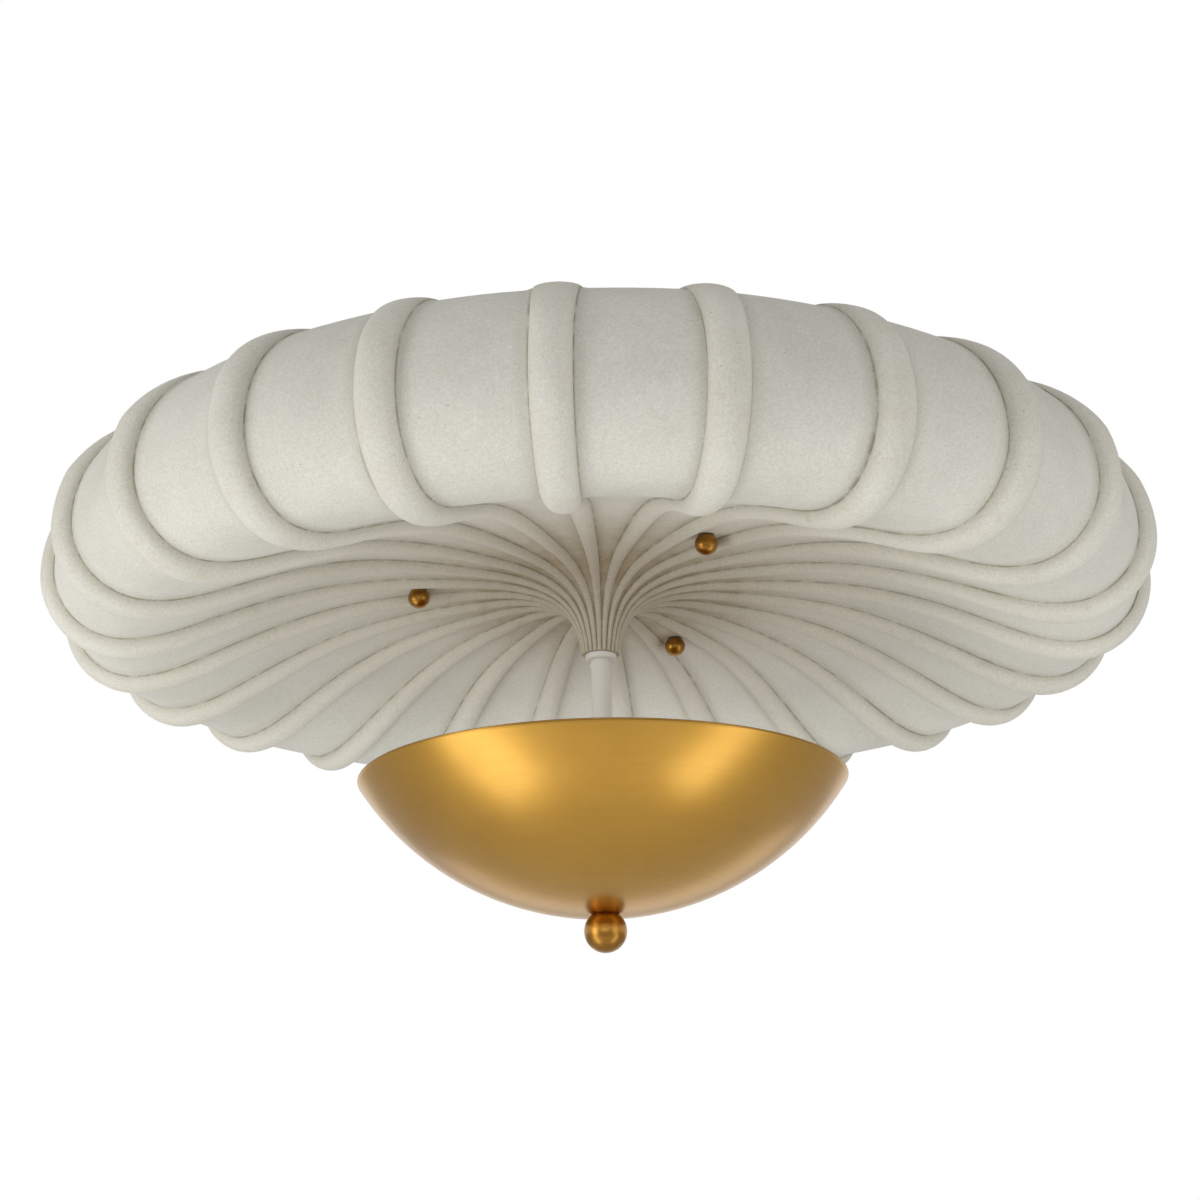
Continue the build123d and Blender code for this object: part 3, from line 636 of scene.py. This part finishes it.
@dataclass
class Shade:
    """The cast shade: a fat ring with ribs that run over it and in to a trumpet at the middle."""

    ribs: int = 24
    top: float = -2.0
    shoulder_radius: float = 270.0
    rim_width: float = 11.0
    wall_radius: float = 345.5
    widest: float = -78.0
    lip: Point = (303.0, -122.0)
    outer_valley: Point = (250.0, -106.3)
    inner_valley: Point = (178.0, -80.2)
    crown: Point = (80.0, -71.0)
    funnel: Point = (46.0, -74.4)
    throat: Point = (22.0, -87.2)
    tip: Point = (11.2, -116.6)
    tip_bore: float = 6.2
    wall: float = 10.5
    crown_wall: float = 9.0
    rib_top: Point = (13.0, 1.2)
    rib_wall: Point = (11.2, 9.6)
    rib_lip_half_width: float = 10.6
    rib_tip: Point = (1.22, 1.15)
    full_size_share: float = 0.75
    growth: float = 1.5
    taper: float = 0.74
    span_rows: tuple[int, int, int, int] = (34, 32, 46, 36)
    rib_columns: int = 12
    gap_columns: int = 6
    fillet: Point = (4.2, 1.3)
    fillet_share: float = 0.14
    hollow_reach: float = 260.0
    calm_radius: float = 30.0
    calm_reach: float = 150.0
    far_from_crease: float = 99.0
    hidden_hollow: float = 0.3
    wobble: float = 0.7

    def spans(self, inset: float = 0.0) -> list[np.ndarray]:
        """Gives the skin's four stretches: two quarter ellipses, the valley and the funnel."""
        quarter = np.linspace(0, pi / 2, self.span_rows[0])
        reach = self.wall_radius - self.shoulder_radius - inset
        upper = np.stack([self.shoulder_radius + reach * np.sin(quarter),
                          self.widest + (self.top - self.widest - inset) * np.cos(quarter)], 1)
        quarter = np.linspace(0, pi / 2, self.span_rows[1])
        lower = np.stack([self.lip[0] + (self.wall_radius - self.lip[0] - inset) * np.cos(quarter),
                          self.widest - (self.widest - self.lip[1] - inset) * np.sin(quarter)], 1)
        rise = np.array([0.0, 1.0]) * inset
        thin = rise * (self.crown_wall / self.wall if inset else 1.0)
        valley = spline_through([np.array(self.lip) + rise, np.array(self.outer_valley) + (rise + thin) / 2,
                                 np.array(self.inner_valley) + thin, np.array(self.crown) + thin],
                                (-1, 0), (-1, 0), self.span_rows[2])
        steep = 1 / hypot(0.1, 1)
        funnel = spline_through([self.crown, self.funnel, self.throat, self.tip],
                                (-1, 0), (-0.1 * steep, -steep), self.span_rows[3])
        return [upper, lower, valley, funnel]

    def rib_sizes(self, spans: list[np.ndarray]) -> tuple[np.ndarray, np.ndarray]:
        """Gives a rib's half width and height at each row.

        It is low at the top, full on the wall and fine at the tip.
        """
        share = np.linspace(0, 1, len(spans[0]))
        down = np.minimum(1, share / self.full_size_share) ** self.growth
        widths = [self.rib_top[0] + (self.rib_wall[0] - self.rib_top[0]) * down]
        heights = [self.rib_top[1] + (self.rib_wall[1] - self.rib_top[1]) * down]
        share = np.linspace(0, 1, len(spans[1]))
        widths.append(self.rib_wall[0] + (self.rib_lip_half_width - self.rib_wall[0]) * share)
        heights.append(np.full(len(share), self.rib_wall[1]))
        for span in spans[2:]:
            inward = ((span[:, 0] - self.tip[0]) / (self.lip[0] - self.tip[0])).clip(0) ** self.taper
            widths.append(self.rib_tip[0] + (self.rib_lip_half_width - self.rib_tip[0]) * inward)
            heights.append(self.rib_tip[1] + (self.rib_wall[1] - self.rib_tip[1]) * inward)
        return np.concatenate(widths), np.concatenate(heights)

    def build(self, finishes: Finishes) -> None:
        """Makes the shade.

        Along the skin the rows follow the profile. Round it, each rib's columns sit at its half
        width times the sine of an angle from -90 to 90 degrees and stand its height times the
        cosine off the skin, which is a half ellipse. The columns between two ribs are even but for
        those near a rib, which rise to it as the square of one less the share of the way out, so the
        crease is sharp in some places and filled out in others. Slow waves move a rib's line, swell
        it and fill its sides, as casting does.
        """
        spans = self.spans()
        profile = np.vstack([spans[0], *[span[1:] for span in spans[1:]]])
        starts = np.cumsum([0] + [len(span) for span in spans])
        keep = np.delete(np.arange(starts[-1]), starts[1:-1])
        half_width, height = (values[keep] for values in self.rib_sizes(spans))
        way = np.gradient(profile, axis=0)
        way /= np.hypot(*way.T)[:, None]
        outward = np.stack([-way[:, 1], way[:, 0]], 1)
        along = np.concatenate([[0], np.cumsum(np.hypot(*np.diff(profile, axis=0).T))])

        radius = profile[:, 0]
        half_turn = half_width / radius
        period = 2 * pi / self.ribs
        swing = np.linspace(-pi / 2, pi / 2, self.rib_columns + 1)
        room = period - 2 * half_turn[:, None]
        reach = np.minimum(self.fillet[0] / radius[:, None], self.fillet_share * room)
        near = np.array([0.22, 0.5, 1.0])
        middle = np.linspace(0, 1, self.gap_columns - 1)[1:-1]
        on_rib = half_turn[:, None] * np.sin(swing)
        between = half_turn[:, None] + np.hstack([
            reach * near, reach + (room - 2 * reach) * middle, room - reach * near[::-1]])
        offset = np.hstack([on_rib, between])
        stand = np.hstack([height[:, None] * np.cos(swing), np.zeros_like(between)])
        rib_share = np.hstack([np.tile(np.cos(swing) > 0.01, (len(radius), 1)), np.zeros_like(between)])
        side_distance = np.hypot(half_width[:, None] * (1 - np.abs(np.sin(swing))),
                                 height[:, None] * np.cos(swing))
        gap_distance = radius[:, None] * np.minimum(between - half_turn[:, None],
                                                    period - half_turn[:, None] - between)
        crease = np.hstack([side_distance, gap_distance])

        index = np.arange(self.ribs)[None, :, None]
        run = along[:, None, None]
        calm = np.clip((radius - self.calm_radius) / self.calm_reach, 0, 1)[:, None, None]

        def soft(rib: np.ndarray, phase: float) -> np.ndarray:
            """Gives how far one side of a rib is filled out, from a sharp 0 to a rounded 1."""
            return 0.5 + 0.5 * np.sin(run / 47 + rib * 2.9 + phase)

        left, right, next_left = soft(index, 0.0), soft(index, 2.1), soft((index + 1) % self.ribs, 0.0)
        slope = (1 - near) ** 2
        rib_fill = (1 - np.cos(swing)) * np.where(swing < 0, left, right)
        gap_fill = np.concatenate([right * slope, 0 * right * middle, next_left * slope[::-1]], 2)
        fill_height = self.fillet[1] / self.fillet[0] * reach[:, :, None] * radius[:, None, None]
        fill = np.concatenate([rib_fill, gap_fill], 2) * fill_height
        sway = self.wobble * calm * (np.sin(run / 61 + index * 2.4) + 0.5 * np.sin(run / 23 + index * 4.1))
        slow, quick = np.sin(run / 37 + index * 1.7), np.sin(run / 13 + index * 3.3)
        swell = 1 + calm * (0.035 * slow + 0.02 * quick)
        angle = index * period - pi / 2 + offset[:, None, :] + sway / radius[:, None, None]
        dish = 0.35 * calm * np.sin(run / 44 + angle * 9) * np.sin(angle * 5 + 1.3)
        lift = stand[:, None, :] * swell + fill + dish
        out = radius[:, None, None] + outward[:, 0, None, None] * lift
        z = profile[:, 1, None, None] + outward[:, 1, None, None] * lift
        columns = self.ribs * offset.shape[1]
        shell = np.stack([out * np.cos(angle), out * np.sin(angle), z], -1).reshape(len(radius), columns, 3)

        back = self.spans(self.wall)
        lining = np.vstack([
            [(self.tip_bore, self.tip[1]), (self.tip_bore, self.throat[1])],
            [(self.throat[0], self.funnel[1])],
            back[2][::-4], back[1][::-4], back[0][::-4],
            [(self.shoulder_radius, self.top - self.wall),
             (self.shoulder_radius - self.rim_width, self.top - self.wall),
             (self.shoulder_radius - self.rim_width, self.top)],
        ])
        plain = angle[0].reshape(1, columns)
        hidden = np.stack([lining[:, :1] * np.cos(plain), lining[:, :1] * np.sin(plain),
                           np.broadcast_to(lining[:, 1:], (len(lining), columns))], -1)
        piece = weld_and_link("shade_cast", np.concatenate([shell, hidden]), True, True)

        def carry(name: str, values: np.ndarray, behind: float) -> None:
            """Writes one number at each vertex, the same for every rib, and a constant on the lining."""
            whole = np.broadcast_to(values[:, None, :], (len(radius), self.ribs, offset.shape[1]))
            data = np.concatenate([whole.ravel(), np.full(len(lining) * columns, behind)])
            layer = piece.data.attributes.new(name, "FLOAT", "POINT")
            layer.data.foreach_set("value", data.astype(np.float32))

        past_lip = along > along[len(spans[0]) + len(spans[1]) - 2]
        sunk = np.clip((self.lip[0] - radius) / self.hollow_reach, 0, 1) * past_lip
        carry("crease_mm", crease, self.far_from_crease)
        carry("rib", rib_share.astype(float), 0.0)
        carry("hollow", np.broadcast_to(sunk[:, None], crease.shape), self.hidden_hollow)
        piece.data.shade_smooth()
        piece.data.set_sharp_from_angle(angle=radians(50))
        settle(piece, "fixture", "shade_cast", finishes, "shade")


@dataclass
class Bowl:
    """The open brass bowl with its rolled rim, and the brass ball that holds it up."""

    rim_radius: float = 155.0
    depth: float = 83.0
    rim: float = -203.2
    wall: float = 1.2
    flat: float = 12.4
    hole: float = 3.6
    ball: float = 13.4
    ball_flat: float = 10.4
    ball_bore: float = 3.05
    ball_bore_depth: float = 12.0
    seat_gap: float = 0.1
    lip_lean: float = 0.35
    rows: int = 90
    around: int = 192

    def build(self, finishes: Finishes) -> None:
        """Makes the bowl: two arcs of spheres one wall apart, joined by a round lip and a flat floor."""
        sphere = (self.rim_radius**2 + self.depth**2) / (2 * self.depth)
        centre = self.rim - self.depth + sphere
        low = np.arcsin(self.flat / sphere)
        high = np.arccos((centre - self.rim) / sphere)
        sweep = np.linspace(low, high, self.rows)
        outside = np.stack([sphere * np.sin(sweep), centre - sphere * np.cos(sweep)], 1)
        inner = sphere - self.wall
        floor = outside[0, 1] + self.wall
        inner_low = np.arccos((centre - floor) / inner)
        sweep = np.linspace(high, inner_low, self.rows // 2)
        inside = np.stack([inner * np.sin(sweep), centre - inner * np.cos(sweep)], 1)
        edge = (outside[-1] + inside[0]) / 2
        lean = np.linspace(0, pi, 7)[1:-1] - self.lip_lean
        lip = edge + self.wall / 2 * np.stack([np.cos(lean), np.sin(lean)], 1)
        middle = [(self.hole, floor), (self.hole, outside[0, 1])]
        outline = np.vstack([outside, lip, inside, middle])
        shell = Spindle().turned("bowl_shell", outline, Ends.RING, self.around)
        settle(shell, "bowl", "bowl_brass", finishes, "bowl")

        top = outside[0, 1] - self.seat_gap
        self.knob("finial_ball", Spindle((0.0, 0.0, top)), self.ball, self.ball_flat, self.ball_bore,
                  self.ball_bore_depth, "finial", finishes, "finial")

    @staticmethod
    def knob(name: str, spindle: Spindle, radius: float, flat: float, bore: float, deep: float,
             body: str, finishes: Finishes, node: str) -> None:
        """Turns a ball with a flat top that stands flat above its centre and a blind hole in it."""
        start = np.arccos(flat / radius)
        sweep = np.linspace(start, pi, 48)
        sphere = np.stack([radius * np.sin(sweep), radius * np.cos(sweep) - flat], 1)
        sphere[-1, 0] = 0.0
        hole = eased([(0.0, -deep), (bore, -deep), (bore, 0.0), tuple(sphere[0])], 0.25, False, 2)
        outline = np.vstack([hole[:-1], sphere])
        settle(spindle.turned(name, outline, Ends.AXIS, 72), body, "finial_brass", finishes, node)


@dataclass
class BallNuts:
    """The three ball nuts under the shade, each with its washer on a threaded stud."""

    count: int = 3
    circle: float = 118.0
    first_angle: float = 37.5
    seat: float = -72.2
    washer: tuple[float, float, float] = (4.9, 2.7, 0.7)
    ball: float = 7.1
    ball_flat: float = 4.9
    bore: float = 2.55
    bore_depth: float = 10.0
    seat_gap: float = 0.1
    stud_radius: float = 2.5
    stud_bottom: float = -82.0
    pitch: float = 0.8

    def build(self, finishes: Finishes) -> None:
        """Makes the washers, the ball nuts and the studs that they turn on."""
        radius, hole, thick = self.washer
        studs = []
        for number in range(self.count):
            angle = radians(self.first_angle + 360 * number / self.count)
            x, y = self.circle * sin(angle), -self.circle * cos(angle)
            ring = eased([(hole, -thick), (radius, -thick), (radius, 0.0), (hole, 0.0)], 0.15, True, 2)
            washer = Spindle((x, y, self.seat)).turned(f"fibre_washer_{number + 1}", ring, Ends.RING, 40)
            settle(washer, f"washer_{number + 1}", "washer_rubber", finishes, f"nut_washer_{number + 1}")
            nut = f"ball_nut_{number + 1}"
            spindle = Spindle((x, y, self.seat - thick - self.seat_gap))
            Bowl.knob(f"brass_ball_{number + 1}", spindle, self.ball, self.ball_flat, self.bore,
                      self.bore_depth, nut, finishes, nut)
            studs.append(Spindle((x, y, 0.0)).threaded(f"threaded_stud_{number + 1}", self.stud_radius,
                                                       self.stud_bottom, 0.0, self.pitch, 0.35, 0.0, 16, 4))
        join_as("threaded_studs", studs)
        settle(studs[0], "fixture", "zinc_steel", finishes, "plate_studs")


def join_as(name: str, pieces: list[bpy.types.Object]) -> None:
    """Joins pieces into the first of them, under a new name."""
    with bpy.context.temp_override(active_object=pieces[0], selected_editable_objects=pieces):
        bpy.ops.object.join()
    pieces[0].name = name
    pieces[0].data.name = name


@dataclass
class Stem:
    """The white collar and stem under the shade and the rod inside it."""

    collar_top: float = -116.9
    collar: tuple[float, float, float] = (10.1, 5.0, 4.2)
    collar_edge: float = 2.2
    collar_bevel: float = 0.3
    tube_fit: float = 0.05
    recess: float = 1.0
    tube: Point = (6.4, 5.0)
    tube_bottom: float = -244.0
    rod: Point = (4.9, 3.2)
    rod_top: float = -2.0
    rod_grip: float = 18.0
    rod_pitch: float = 0.94

    def build(self, finishes: Finishes) -> None:
        """Makes the collar with its rounded lower edge, the stem tube and the threaded rod."""
        radius, bore, tall = self.collar
        bottom = self.collar_top - tall
        stem_top = bottom + self.recess
        round_edge = np.linspace(0, pi / 2, 10)
        corner = np.stack([radius - self.collar_edge * (1 - np.cos(round_edge)),
                           bottom + self.collar_edge * (1 - np.sin(round_edge))], 1)
        hole = self.tube[0] + self.tube_fit
        upper = [(bore, self.collar_top), (radius - self.collar_bevel, self.collar_top),
                 (radius, self.collar_top - self.collar_bevel)]
        outline = np.vstack([upper, corner, [(hole, bottom), (hole, stem_top), (bore, stem_top)]])
        collar = Spindle().turned("white_collar", outline, Ends.RING, 72)
        settle(collar, "fixture", "stem_paint", finishes, "stem_collar")
        ring = eased([(self.tube[1], self.tube_bottom), (self.tube[0], self.tube_bottom),
                      (self.tube[0], stem_top), (self.tube[1], stem_top)], 0.25, True, 3)
        tube = Spindle().turned("white_stem", ring, Ends.RING, 72)
        settle(tube, "fixture", "stem_paint", finishes, "stem_tube")
        rod = Spindle().threaded("threaded_rod", self.rod[0], stem_top - self.rod_grip, self.rod_top,
                                 self.rod_pitch, 0.45, self.rod[1], 28, 5)
        settle(rod, "fixture", "zinc_steel", finishes, "centre_rod")


@dataclass
class Lamps:
    """The three candle bulbs in the bowl, in the sockets that stand on the cluster's cone."""

    count: int = 3
    first_turn: float = 90.0
    tilt: float = 22.0
    port: Point = (19.748, -257.0)
    cap_bottom: float = 12.0
    cap_top: float = 31.5
    cap_radius: float = 5.85
    cap_bore: float = 5.4
    cap_wall: float = 0.45
    cap_collar: float = 3.0
    thread_fade: float = 1.5
    thread_pitch: float = 2.1
    thread_depth: float = 0.5
    bulb_length: float = 66.0
    bulb_radius: float = 17.5
    neck: Point = (5.2, 4.0)
    neck_flare: float = 0.15
    widest_share: float = 0.42
    side_rows: int = 40
    tip_radius: float = 2.5
    glass: float = 0.8

    def side(self, inset: float) -> np.ndarray:
        """Gives one side of the torpedo bulb, a smooth curve from its neck to its tip."""
        top = self.cap_top + self.bulb_length
        widest = self.cap_top + self.bulb_length * self.widest_share
        lead = hypot(self.neck_flare, 1)
        return spline_through([(self.neck[0] - inset, self.cap_top), (self.bulb_radius - inset, widest),
                               (self.tip_radius, top - self.tip_radius / 2 - inset), (0.0, top - inset)],
                              (self.neck_flare / lead, 1 / lead), (-1, 0), self.side_rows)

    def build(self, finishes: Finishes) -> None:
        """Makes each bulb's glass and its screw cap."""
        for number in range(self.count):
            turn = self.first_turn + 360 * number / self.count
            way = radians(turn)
            port = (self.port[0] * cos(way), self.port[0] * sin(way), self.port[1])
            spindle = Spindle(port, self.tilt, turn)
            body, label = f"bulb_{number + 1}", number + 1
            outer, inner = self.side(0.0), self.side(self.glass)
            foot = self.cap_top - self.neck[1]
            throat = [(self.neck[0], foot), (self.neck[0] - self.glass, foot)]
            outline = np.vstack([outer[::-1], throat, inner])
            glass = spindle.turned(f"candle_glass_{label}", outline, Ends.AXIS, 64)
            settle(glass, body, "bulb_glass", finishes, f"bulb_glass_{label}")
            self.cap(spindle, label, body, finishes)

    def cap(self, spindle: Spindle, label: int, body: str, finishes: Finishes) -> None:
        """Makes a screw cap: a rolled thread on a thin shell, closed by a cone with the contact tip."""
        rows, around = 60, 48
        floor = self.cap_bottom + self.cap_wall
        height, angle = np.meshgrid(np.linspace(floor, self.cap_top, rows),
                                    np.arange(around) * 2 * pi / around, indexing="ij")
        wave = np.sin(2 * pi * (height / self.thread_pitch - angle / (2 * pi)))
        room = np.minimum(self.cap_top - self.cap_collar - height, height - self.cap_bottom)
        fade = np.clip(room / self.thread_fade, 0, 1)
        radius = self.cap_radius - self.thread_depth * (0.5 - 0.5 * wave) * fade
        ends = np.array([(self.cap_bore, self.cap_top), (self.cap_bore, floor), (0.0, floor)])
        nose = np.array([(0.0, 9.4), (1.4, 9.5), (2.2, 10.0), (2.3, 10.6), (3.6, self.cap_bottom)])
        ring = np.ones((1, around))
        radius = np.vstack([nose[:, :1] * ring, radius, ends[:, :1] * ring])
        height = np.vstack([nose[:, 1:] * ring, height, ends[:, 1:] * ring])
        angle = np.broadcast_to(angle[:1], radius.shape)
        piece = weld_and_link(f"screw_cap_{label}", spindle.placed(radius, angle, height), True, False)
        settle(finish_mesh(piece, 50.0), body, "cap_metal", finishes, f"bulb_cap_{label}")


@dataclass
class CarriedOver:
    """The CAD nodes whose shape is right as it stands, which only get their finish."""

    slots: dict[str, str] = field(default_factory=dict)

    def build(self, finishes: Finishes) -> None:
        """Dresses every CAD node still shown in the finish that the record gives it."""
        for entry in frame["record"]["subparts"]:
            node = frame["nodes"][entry["node"]]
            if not node.hide_render:
                finishes.dress(node, entry["material_slot"])
                self.slots[node.name] = entry["material_slot"]
        log.info("%d CAD nodes keep their shape", len(self.slots))


# The studio


@dataclass
class Studio:
    """Camera, lamps, floor and background."""

    pixels: float = 1200.0
    focal_pixels: float = 2049.0
    sensor_mm: float = 36.0
    distance_mm: float = 1268.4
    height_mm: float = -515.8
    around_degrees: float = 3.785
    pitch_degrees: float = 19.0
    yaw_degrees: float = 0.14
    roll_degrees: float = -1.05
    centre_pixel: float = 604.6
    floor_size: float = 40.0
    floor_z: float = -1.25
    daylight: float = 0.44

    def camera(self) -> None:
        """Places the camera where the photograph was taken from.

        It stands at a distance from the axis, looks at the axis turned by the yaw and up by the
        pitch, and its right and up directions are turned about the line of sight by the roll.
        """
        data = bpy.data.cameras.new("photo_camera")
        data.sensor_width = self.sensor_mm
        data.lens = self.focal_pixels / self.pixels * self.sensor_mm
        data.shift_x = (self.pixels / 2 - self.centre_pixel) / self.pixels
        data.clip_start, data.clip_end = 0.01, 50.0
        camera = bpy.data.objects.new("photo_camera", data)
        bpy.context.scene.collection.objects.link(camera)
        way = radians(self.around_degrees)
        spot = Vector((sin(way), -cos(way), 0.0)) * self.distance_mm + Vector((0, 0, self.height_mm))
        level = Vector((-sin(way - radians(self.yaw_degrees)), cos(way - radians(self.yaw_degrees)), 0.0))
        sight = level * cos(radians(self.pitch_degrees)) + Vector((0, 0, sin(radians(self.pitch_degrees))))
        right = sight.cross(Vector((0, 0, 1))).normalized()
        up = right.cross(sight).normalized()
        roll = radians(self.roll_degrees)
        rolled_right = right * cos(roll) + up * sin(roll)
        rolled_up = up * cos(roll) - right * sin(roll)
        axes = Matrix((rolled_right, rolled_up, -sight)).transposed().to_4x4()
        camera.matrix_world = Matrix.Translation(spot * MM) @ axes
        bpy.context.scene.camera = camera

    def softbox(self, name: str, spot: Spot, aim: Spot, size: Point, watts: float) -> None:
        """Hangs a white rectangular lamp at a spot, in metres, turned to a point."""
        data = bpy.data.lights.new(name, "AREA")
        data.shape = "RECTANGLE"
        data.size, data.size_y = size
        data.energy = watts
        lamp = bpy.data.objects.new(name, data)
        bpy.context.scene.collection.objects.link(lamp)
        lamp.rotation_mode = "QUATERNION"
        lamp.location = spot
        lamp.rotation_quaternion = (Vector(aim) - Vector(spot)).to_track_quat("-Z", "Y")

    def lamps(self) -> None:
        """Hangs the softboxes.

        Two stand low at the front corners, one strip faces the stem, three lie close under the bowl
        and give its long highlights, and one lights the far side.
        """
        centre = (0.0, 0.0, -0.15)
        bowl = (0.0, 0.0, -0.25)
        self.softbox("key_softbox", (-1.6, -1.1, -0.42), centre, (0.9, 1.1), 9.5)
        self.softbox("fill_softbox", (1.7, -1.1, -0.42), centre, (0.9, 1.1), 4.0)
        self.softbox("stem_strip", (0.0, -1.75, -0.38), centre, (1.2, 0.3), 2.0)
        self.softbox("bowl_strip_left", (-0.66, -0.32, -1.05), bowl, (0.46, 1.0), 2.5)
        self.softbox("bowl_strip_right", (0.72, -0.24, -1.02), bowl, (0.30, 1.0), 1.7)
        self.softbox("under_softbox", (0.0, -0.35, -1.2), bowl, (1.3, 1.0), 0.8)
        self.softbox("back_softbox", (0.0, 1.6, -0.9), centre, (2.0, 0.5), 1.6)

    def backdrop(self) -> None:
        """Lays the pale floor and sets the world.

        The world is white to the camera and in metal and glass, and soft light to the rest.
        """
        bpy.ops.mesh.primitive_plane_add(size=self.floor_size, location=(0, 0, self.floor_z))
        floor = bpy.context.object
        floor.name = "studio_floor"
        sheet = NodeSheet("studio_floor")
        grain = sheet.noise(2.0, 2.0)
        sheet.surface(base_color=sheet.blend((0.9, 0.9, 0.9), (0.92, 0.92, 0.92), grain), roughness=0.9)
        floor.data.materials.append(sheet.material)
        world = bpy.data.worlds.new("studio_world")
        world.use_nodes = True
        tree = world.node_tree
        tree.nodes.clear()
        path = tree.nodes.new("ShaderNodeLightPath")
        seen = path.outputs["Is Camera Ray"]
        for ray in ("Is Transmission Ray", "Is Glossy Ray"):
            either = tree.nodes.new("ShaderNodeMath")
            either.operation = "MAXIMUM"
            tree.links.new(seen, either.inputs[0])
            tree.links.new(path.outputs[ray], either.inputs[1])
            seen = either.outputs[0]
        level = tree.nodes.new("ShaderNodeMath")
        level.operation = "MULTIPLY_ADD"
        tree.links.new(seen, level.inputs[0])
        level.inputs[1].default_value = 1.0 - self.daylight
        level.inputs[2].default_value = self.daylight
        background = tree.nodes.new("ShaderNodeBackground")
        background.inputs["Color"].default_value = (1.0, 1.0, 1.0, 1.0)
        tree.links.new(level.outputs[0], background.inputs["Strength"])
        output = tree.nodes.new("ShaderNodeOutputWorld")
        tree.links.new(background.outputs[0], output.inputs["Surface"])
        bpy.context.scene.world = world
        bpy.context.scene.view_settings.view_transform = "Standard"

    def build(self) -> None:
        """Sets up the whole studio."""
        self.camera()
        self.lamps()
        self.backdrop()


def main() -> None:
    """Builds the studio, the finishes and each sub-assembly in order."""
    Studio().build()
    finishes = Finishes()
    for part in (Shade(), Bowl(), BallNuts(), Stem(), Lamps(), CarriedOver()):
        log.info("building %s", type(part).__name__)
        part.build(finishes)


if __name__ == "__main__":
    main()
